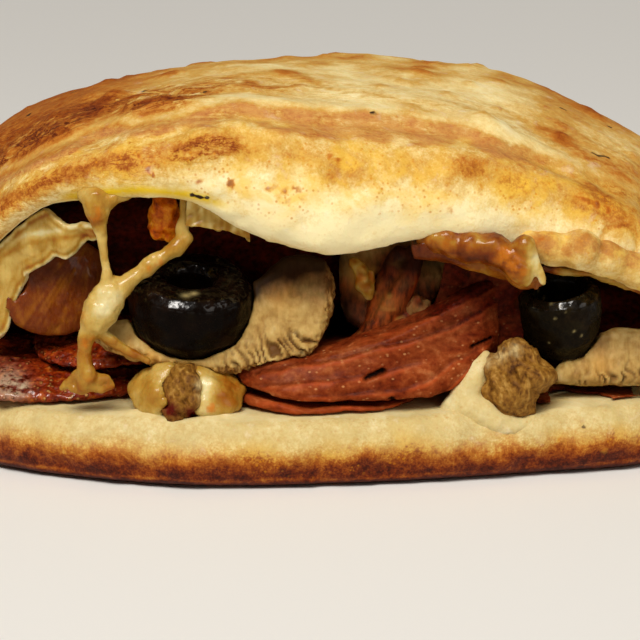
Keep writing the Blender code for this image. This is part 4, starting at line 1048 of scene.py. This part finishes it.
# %% Cheese finish
molten = Finish("melted cheese", {"Specular IOR Level": 0.15, "Subsurface Weight": 0.12,
                                  "Subsurface Scale": 2.0 * MM, "Coat Roughness": 0.1})
melt, strands = molten.noise(2.0, 5.0), molten.noise(0.7, 4.0, (1.0, 1.0, 0.4))
molten.tone = molten.ramp(molten.painted("tan") + 0.35 * (melt - 0.5) + 0.18 * (strands - 0.5),
                          [(0.0, (220, 206, 152)), (0.20, (200, 170, 92)), (0.40, (172, 130, 46)),
                           (0.58, (150, 88, 16)), (0.76, (112, 48, 5)), (1.0, (56, 16, 2))])
molten.tint(molten.painted("orange").rising(0.2, 1.0) * melt.rising(0.3, 0.6) * 0.8, (190, 108, 16))
molten.feed(Roughness=0.18 + 0.35 * melt, Coat_Weight=0.5 * molten.painted("wet"),
            Normal=molten.relief(melt, 0.35, molten.relief(strands, 0.14)))


def wear_cheese(piece, tan, marks, slot="melted_cheese"):
    """Paints how tan each vertex is, and orange marks, then gives the finish."""
    places = places_of(piece)
    wear(piece, molten, slot, tan=tan,
         orange=picture_spots(places, marks, 0.5) * rise(-30.0, -36.0, places[:, 1]))


# %% [markdown]
# ## Strings, drips and a pale drop
# Molten cheese hangs in threads that thin towards the middle. A thread is a row of round beads, close enough
# to merge when they are meshed together, so it swells and thins with the beads' sizes.

# %% Threads from beads
BEAD_STEP = 0.45        # the beads' distance, as a share of the smaller radius


def melted_thread(name, chains, cell, rounds=4):
    """One closed body from rows of beads (across, down, y, radius), placed where the picture shows them."""
    bm = bmesh.new()
    for chain in chains:
        beads = [(hung_at(a, d, y), r) for a, d, y, r in chain]
        for (start, small), (end, large) in zip(beads[:-1], beads[1:]):
            steps = max(1, round((end - start).length / (BEAD_STEP * min(small, large))))
            for i in range(steps + 1):
                t = i / steps
                bmesh.ops.create_icosphere(bm, subdivisions=2, radius=(small + (large - small) * t) * MM,
                                           matrix=Matrix.Translation(start.lerp(end, t) * MM))
    piece = new_piece(name, bm)
    evenly_meshed(piece, cell)
    smoothed(piece, rounds)
    places = places_of(piece)
    push(piece, 0.18 * lumps(places, 1.8, 3.0) + 0.08 * lumps(places, 0.8))
    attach(piece, "root")
    return piece


print("a thread 1 mm thick has", round(1.0 / (BEAD_STEP * 0.5)), "beads to the millimetre")

# %% Strings at the left
STRAND = [
    (84, 195, -50.2, 1.2), (96, 199, -50.6, 2.2), (97, 211, -50.8, 2.1), (99, 222, -50.8, 1.4),
    (102, 238, -50.8, 0.85), (104, 256, -50.8, 0.7), (106, 270, -50.8, 0.75), (107, 282, -50.6, 1.2),
    (108, 292, -50.2, 2.0)]
FUNNEL = [(130, 194, -50.0, 0.8), (116, 197, -50.2, 1.2), (102, 203, -50.6, 1.8)]
DROP = [
    (114, 286, -49.8, 1.8), (108, 298, -50.2, 2.9), (101, 310, -50.4, 3.1), (95, 321, -50.6, 2.5),
    (89, 331, -50.8, 1.7), (85, 341, -51.0, 1.3), (84, 354, -51.2, 1.2), (85, 366, -51.4, 1.4),
    (88, 376, -51.4, 1.7), (84, 385, -51.2, 1.3)]
TWISTED = [
    (184, 200, -47.2, 0.8), (185, 216, -47.4, 1.0), (182, 231, -47.6, 1.1), (186, 238, -47.8, 1.2),
    (176, 248, -48.0, 1.5), (166, 255, -48.2, 1.1), (155, 261, -48.6, 1.4), (147, 268, -48.8, 1.5),
    (138, 274, -49.2, 1.2), (128, 282, -49.5, 1.5), (119, 290, -49.8, 1.9), (110, 298, -50.2, 2.2)]
FOOT = [
    (62, 388, -50.2, 0.6), (70, 381, -50.4, 0.8), (78, 374, -50.8, 0.9), (84, 380, -51.2, 1.2),
    (92, 373, -50.9, 0.8), (98, 380, -51.0, 1.1), (107, 378, -50.6, 0.7), (112, 386, -50.5, 0.6),
    (101, 389, -50.9, 0.8), (92, 386, -51.2, 0.9), (82, 391, -51.0, 0.7), (73, 388, -50.8, 0.8)]
FOLD = [
    (90, 324, -50.2, 1.4), (100, 333, -50.2, 1.15), (110, 340, -50.0, 1.0), (121, 347, -49.6, 0.95),
    (134, 354, -49.3, 0.8), (148, 361, -49.2, 0.6)]
strings = melted_thread("cheese_strings", [STRAND, FUNNEL, DROP, TWISTED, FOOT, FOLD], 0.22)
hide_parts("cheese_strings_left")
places, across, down = shown_at(strings)
pale_drop = bell(across, 108, 20.0) * bell(down, 304, 24.0)
brown_funnel = bell(across, 96, 10.0) * bell(down, 213, 13.0)
tan = (0.34 - 0.30 * pale_drop + 0.25 * brown_funnel + 0.16 * rise(328.0, 345.0, down)
       + 0.18 * lumps(places, 2.4, 2.0))
wear_cheese(strings, tan, [(85, 316, 0.9, 1), (95, 214, 1.4, 1.0), (84, 345, 0.9, 0.9), (92, 338, 0.8, 0.7),
                           (160, 262, 1.0, 0.8), (150, 270, 0.8, 0.7), (86, 380, 1.2, 0.7)])

# %% A piece of cheese from its solid
EDGE_TURN = 0.35        # a thin sheet's edge faces less to front or back than this


def from_edge(piece):
    """How far each point of a thin sheet lies from the sheet's edge, in millimetres."""
    places = places_of(piece)
    edge = places[np.abs(outward(piece)[:, 1]) < EDGE_TURN]
    tree = KDTree(len(edge))
    for i, place in enumerate(edge):
        tree.insert(place, i)
    tree.balance()
    return np.array([tree.find(p)[2] for p in places])


def pleats(across, down, shift=0.0):
    """Soft stripes, given two measures that are already divided by the stripes' width and length."""
    return lumps(np.stack([across, down, 0.0 * down], axis=1), 1.0, shift)


def cheese(node, name, cell, bulge, swell=0.0):
    """A melted piece from its solid, with soft bulges that many millimetres high."""
    piece = skin_of(node, name, cell)
    places = places_of(piece)
    push(piece, swell + bulge * (lumps(places, 2.8, 1.0) + 0.4 * lumps(places, 1.2)))
    smoothed(piece, 2)
    return piece


print("solids of cheese:", sorted(name for name in solids if name.startswith("cheese")))

# %% Frill at the left
FRILL_ACROSS = (0, 30, 95)
FRILL_TOP, FRILL_UNDER = (247, 234, 226), (257, 243, 233)       # how far down, at those places
frill = cheese("cheese_skin_left", "cheese_frill", 0.26, 0.3)
places, across, down = shown_at(frill)
far = from_edge(frill)
# A painted highlight along the top fold, and painted shade in a line beneath it.
fold_highlight, fold_shade = (bell(down, np.interp(across, FRILL_ACROSS, line), 3.0)
                        for line in (FRILL_TOP, FRILL_UNDER))
torn_edge = 0.20 * bell(far, 0.95, 0.28) + 0.06 * bell(far, 2.1, 0.3) - 0.24 * rise(0.9, 0.3, far)
tan = (0.30 + torn_edge + 0.10 * pleats(across / 9.0, down / 26.0, 2.0) - 0.22 * fold_highlight + 0.14 * fold_shade
       + 0.14 * lumps(places, 3.0, 4.0))
wear_cheese(frill, tan, [(20, 236, 1.2, 0.5), (60, 230, 1.2, 0.4)])

# %% Browned sheet, mound and layer
sheet = cheese("cheese_slice_browned", "cheese_sheet_browned", 0.3, 0.3)
places, across, down = shown_at(sheet)
rays = np.arctan2(down - 220.0, across - 100.0)       # they run down from the top of the strings
tan = 0.74 + 0.14 * pleats(rays * 24.0, down / 60.0) + 0.10 * lumps(places, 4.0)
wear_cheese(sheet, tan, [], slot="browned_cheese")
mound = cheese("cheese_mound_left", "cheese_mound", 0.26, 0.5, swell=0.45)
places, across, down = shown_at(mound)
# Painted highlight: the mound is paler where it shines.
shine = bell(across, 205, 8.0) * bell(down, 392, 16.0)
tan = (0.36 + 0.14 * lumps(places, 3.2, 3.0) + 0.14 * rise(210, 225, across) - 0.34 * shine
       - 0.26 * rise(404.0, 420.0, down))
wear_cheese(mound, tan, [(211, 408, 0.9, 1.2), (228, 388, 0.9, 0.3)])
layer = cheese("cheese_layer_right", "cheese_layer", 0.5, 0.5)
places, across, down = shown_at(layer)
# Painted shade: darker further back under the lid.
shade_under_lid = rise(-46.0, -38.0, places[:, 1])
tan = 0.66 + 0.35 * lumps(places, 4.5, 4.0) + 0.25 * shade_under_lid - 0.30 * rise(545, 570, across)
wear_cheese(layer, tan, [(480, 245, 1.2, 0.5)])

# %% Melted lumps and a drip under the lip
LIP_LUMPS = [
    (424, 241, -47.8, 1.4), (434, 240, -48.5, 2.1), (446, 240, -48.9, 2.6), (458, 246, -49.1, 2.4),
    (468, 247, -49.5, 2.8), (480, 248, -49.4, 2.6), (492, 249, -49.8, 2.9), (503, 255, -50.4, 2.4),
    (512, 262, -51.2, 2.2), (519, 270, -51.4, 2.3), (523, 276, -51.4, 1.8), (525, 281, -51.4, 1.1)]
THIN_DRIP = [
    (524, 246, -51.2, 2.0), (531, 257, -51.4, 1.2), (537, 266, -51.6, 0.85), (541, 275, -51.6, 0.8),
    (543, 283, -51.6, 0.6)]
lip_cheese = melted_thread("cheese_under_lip", [LIP_LUMPS, THIN_DRIP], 0.28, rounds=10)
places, across, down = shown_at(lip_cheese)
pale_tip = bell(across, 536, 8.0) * rise(248, 258, down)
lighter_left = rise(252, 240, down) * rise(500, 480, across)
tan = (0.76 - 0.36 * rise(514, 540, across) - 0.36 * pale_tip - 0.15 * lighter_left
       + 0.24 * lumps(places, 3.4, 4.0) + 0.14 * lumps(places, 1.0, 6.0))
wear_cheese(lip_cheese, tan, [(517, 268, 2.2, 1.3), (503, 256, 1.8, 1.0), (470, 248, 1.6, 0.6),
                              (448, 243, 1.6, 0.7)])

# %% [markdown]
# ## Dough that swells round the filling
# At the right the lip ends in soft pale swellings, some of them toasted, and the base rises round the large
# piece of sausage. Both are rows of beads like the cheese, but they wear the crust's finish.

# %% Swellings of the dough
PALE_EDGE = [
    (530, 243, -47.6, 2.4), (541, 246, -47.6, 2.7), (552, 249, -47.8, 3.0), (565, 250, -47.4, 2.7),
    (581, 250, -48.2, 3.5), (594, 257, -46.8, 2.7), (606, 259, -46.8, 3.2), (620, 264, -45.8, 2.7),
    (634, 270, -45.2, 3.1), (652, 281, -43.4, 2.4)]
CUP = [
    (446, 411, -46.4, 1.6), (458, 402, -46.4, 2.2), (467, 391, -46.0, 2.6), (474, 378, -45.6, 2.4),
    (480, 366, -45.0, 1.8), (486, 357, -44.6, 1.2)]
CUP_FOOT = [
    (452, 414, -46.8, 2.0), (468, 408, -46.8, 3.0), (482, 414, -47.4, 2.9), (496, 422, -47.8, 2.6),
    (512, 427, -47.6, 2.2), (527, 424, -46.8, 1.8), (540, 421, -45.6, 1.5), (552, 420, -44.4, 1.2)]
TOASTED = [
    (549, 240, 1.8, 0.34), (581, 243, 1.9, 0.36), (604, 248, 1.3, 0.30), (619, 244, 1.8, 0.30),
    (632, 262, 1.4, 0.20), (566, 252, 1.0, 0.24), (536, 240, 1.4, 0.30)]


def swelling(name, chains, rounds, toasted, pale, cream):
    """Pale dough from beads; toasted are round baked marks of the picture."""
    piece = melted_thread(name, chains, 0.3, rounds)
    places = places_of(piece)
    baked = picture_spots(places, toasted, 0.5)
    wear(piece, bread, "baked_crust", bake=pale + 0.12 * lumps(places, 3.0, 4.0) + baked, orange=baked,
         yellow=0.3 + 0.6 * rise(0.0, 0.5, lumps(places, 4.0, 7.0)), mottled=0.5, cream=cream)


swelling("dough_lip_edge", [PALE_EDGE], 10, TOASTED, pale=0.27, cream=0.25)
swelling("dough_round_sausage", [CUP, CUP_FOOT], 16, [(470, 425, 1.4, 0.12)], pale=0.12, cream=1.0)

# %% [markdown]
# ## Food behind the middle
# In the shadow of the lip a soft fold hangs in front of the mushroom, soaked in juice, with golden crumbs
# of cheese beside it and a torn edge of gills.

# %% Food behind the middle
FOLD_LONG = [
    (350, 346, -39.6, 1.2), (364, 337, -39.8, 1.7), (379, 323, -39.8, 2.2), (391, 306, -39.4, 2.6),
    (401, 288, -39.0, 2.4), (409, 270, -38.6, 2.2), (415, 254, -38.2, 1.8)]
FOLD_BACK = [
    (372, 326, -39.2, 1.5), (378, 308, -38.8, 2.0), (385, 290, -38.4, 2.2), (391, 273, -38.2, 2.0),
    (398, 254, -38.0, 1.6)]
FOLD_LOW = [(384, 342, -40.2, 1.4), (394, 331, -40.2, 1.9), (405, 322, -40.0, 1.6), (414, 312, -39.6, 1.2)]
GOLDEN_BITS = [
    (354, 262, -38.8, 1.0), (359, 268, -39.4, 1.3), (363, 277, -39.8, 1.2), (359, 285, -39.6, 0.9),
    (367, 288, -40.0, 1.3), (369, 296, -39.8, 0.8), (371, 272, -39.2, 0.6), (372, 282, -39.4, 0.6)]
GILL_BITS = [
    (408, 328, -40.2, 1.0), (413, 318, -40.4, 0.8), (411, 308, -40.2, 0.9), (417, 300, -40.2, 0.9),
    (421, 310, -40.4, 1.0), (426, 318, -40.2, 1.0), (419, 325, -40.4, 0.8), (427, 303, -39.8, 0.8)]
fold = melted_thread("mushroom_fold_middle", [FOLD_LONG, FOLD_BACK, FOLD_LOW], 0.3, rounds=7)
places, across, down = shown_at(fold)
lit_patch = bell(across, 386.0, 13.0) * bell(down, 302.0, 12.0)
shade = 0.3 * lumps(places, 2.6, 2.0) + 0.9 * rise(290.0, 262.0, down) + 0.5 * rise(376.0, 358.0, across)
wear(fold, stewed, "mushroom", juice=1.0 + 0.2 * lumps(places, 3.0, 5.0), shade=np.clip(shade, 0.0, 0.92),
     golden=0.16 * lit_patch + 0.25 * rise(0.2, 0.7, lumps(places, (2.0, 2.0, 1.2), 5.0)))
bits = melted_thread("cheese_bits_middle", [GOLDEN_BITS], 0.24, rounds=3)
wear_cheese(bits, 0.46 + 0.3 * lumps(places_of(bits), 1.2, 2.0), [(364, 282, 1.6, 1.0)])
gills = melted_thread("mushroom_gill_bits", [GILL_BITS], 0.24, rounds=2)
places = places_of(gills)
shade = 0.2 + 0.8 * picture_spots(places, [(413, 321, 0.7, 1.0), (420, 304, 0.5, 0.8)])
wear(gills, stewed, "mushroom", gills=rise(0.0, 0.5, lumps(places, 0.9, 3.0)),
     juice=0.55 + 0.3 * rise(-0.2, 0.4, lumps(places, 2.0, 6.0)), shade=np.clip(shade, 0.0, 0.95))

# %% [markdown]
# ## Thin skins that hang or fold
# A creased skin under the lip and a fold of ham at the right are small grids. Each row runs from a line above
# to a line below, creases push it to and fro, and it is thickened at the end.

# %% A hanging sheet
ROWS = (100, 50)        # cells along and down a sheet


def on_line(line, share):
    """The place of the picture that is this share of the way along a line."""
    return [np.interp(share * (len(line) - 1), range(len(line)), values) for values in zip(*line)]


def hanging_sheet(name, top, foot, depth, creases, thickness):
    """A thin closed sheet between two lines of the picture. creases is (count, depth in mm, shift)."""
    count, push_depth, shift = creases
    bm = bmesh.new()
    bmesh.ops.create_grid(bm, x_segments=ROWS[0], y_segments=ROWS[1], size=0.5)
    for vertex in bm.verts:
        along_it, down_it = vertex.co.x + 0.5, 0.5 - vertex.co.y
        bend = along_it + 0.4 * down_it + 0.10 * noise.noise((along_it * 3.0, down_it * 2.0, shift))
        crease = (noise.noise((bend * count, down_it * 1.1, shift))
                  + 0.45 * noise.noise((bend * count * 2.6, down_it * 2.6, shift + 4.0)))
        ends_of_row = zip(on_line(top, along_it), on_line(foot, along_it))
        across, down = [upper + (lower - upper) * down_it for upper, lower in ends_of_row]
        vertex.co = hung_at(across, down + 1.4 * crease * down_it, depth + push_depth * crease) * MM
    bmesh.ops.recalc_face_normals(bm, faces=bm.faces)
    bmesh.ops.solidify(bm, geom=bm.faces[:], thickness=thickness * MM)
    bmesh.ops.recalc_face_normals(bm, faces=bm.faces)
    piece = new_piece(name, bm)
    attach(piece, "root")
    return piece


print("a sheet has", 2 * ROWS[0] * ROWS[1], "cells on its two sides")

# %% Membrane and fold
membrane = hanging_sheet("lip_membrane", [(187, 196), (205, 198), (222, 203), (236, 211), (248, 222)],
                         [(186, 226), (200, 227), (216, 229), (232, 233), (250, 238)],
                         depth=-49.2, creases=(3.4, 0.5, 2.0), thickness=0.6)
places, across, down = shown_at(membrane)
tan = (0.26 + 0.26 * pleats(across / 5.0, down / 18.0, 2.0) + 0.20 * rise(226.0, 236.0, down)
       + 0.1 * lumps(places, 1.0))
wear_cheese(membrane, tan, [(222, 206, 1.2, 0.2)])
ham_fold = hanging_sheet("ham_fold_right", [(446, 256), (470, 256), (497, 258), (528, 264)],
                         [(428, 350), (458, 352), (490, 356), (522, 358)],
                         depth=-40.6, creases=(3.0, 1.5, 12.0), thickness=1.1)
places, across, down = shown_at(ham_fold)
# Painted shade: the fold is dark, darker in its hollows and under the lip; the edge tint adds lighter
# patches.
hollow_shade, shade_under_lip = rise(0.1, -0.8, lumps(places, 2.4, 3.0)), rise(275.0, 256.0, down)
wear(ham_fold, cured, "ham", dark=np.clip(0.80 + 0.35 * hollow_shade + 0.4 * shade_under_lip, 0.0, 0.95),
     edge=0.7 * rise(0.2, 0.7, lumps(places, 2.0, 8.0)))

# %% [markdown]
# ## Camera, floor and light
# The loaf stands on a plain pale floor under a large soft lamp in front and above, to the left, with a weaker
# one opposite, so that the mouth keeps its depth and the olives catch a broken highlight.

# %% Camera
camera_data = bpy.data.cameras.new("camera")
camera_data.lens = LENS
camera_data.sensor_width = SENSOR
camera_data.clip_start = 0.01
camera = bpy.data.objects.new("camera", camera_data)
camera.location = EYE * MM
camera.rotation_euler = (math.radians(90.0) - EYE_TILT, 0.0, 0.0)
bpy.context.scene.collection.objects.link(camera)
bpy.context.scene.camera = camera
print("camera at", [round(v, 4) for v in camera.location], "tilted down by", round(math.degrees(EYE_TILT), 1))

# %% Floor and lights
AIM = Vector((0.0, -0.03, 0.03))        # the lamps point at the middle of the mouth
FLOOR_REACH = 3.0
floor_bm = bmesh.new()
bmesh.ops.create_grid(floor_bm, x_segments=1, y_segments=1, size=FLOOR_REACH)
floor = new_piece("floor", floor_bm, smooth=False)
dress(floor, Finish("pale floor", {"Base Color": colour(236, 235, 232), "Roughness": 0.85}))

world = bpy.data.worlds.new("soft light")
world.use_nodes = True
sky = world.node_tree.nodes["Background"]
sky.inputs["Color"].default_value = (1.0, 0.93, 0.84, 1.0)
sky.inputs["Strength"].default_value = 0.15
bpy.context.scene.world = world


def lamp(name, kind, power, tone):
    """A lamp of one kind, not yet placed."""
    made = bpy.data.objects.new(name, bpy.data.lights.new(name, kind))
    made.data.energy = power
    made.data.color = tone
    bpy.context.scene.collection.objects.link(made)
    return made


for name, place, width, watts in (("key lamp", (-0.25, -0.50, 0.55), 0.20, 1.9),
                                  ("fill lamp", (0.50, -0.45, 0.35), 0.40, 0.5)):
    square = lamp(name, "AREA", watts, (1.0, 0.95, 0.89))
    square.data.shape = "SQUARE"
    square.data.size = width
    square.location = place
    square.rotation_mode = "QUATERNION"
    square.rotation_quaternion = (AIM - Vector(place)).to_track_quat("-Z", "Y")
overhead = lamp("overhead light", "SUN", 2.1, (1.0, 0.96, 0.90))
overhead.data.angle = math.radians(30.0)
overhead.rotation_euler = (math.radians(37.0), math.radians(-4.0), 0.0)
bpy.context.scene.view_settings.view_transform = "Standard"
print("lamps:", len(bpy.data.lights))

# %% [markdown]
# ## The box
# The dressed loaf must fill the same box as the solids, which was measured when they were loaded.
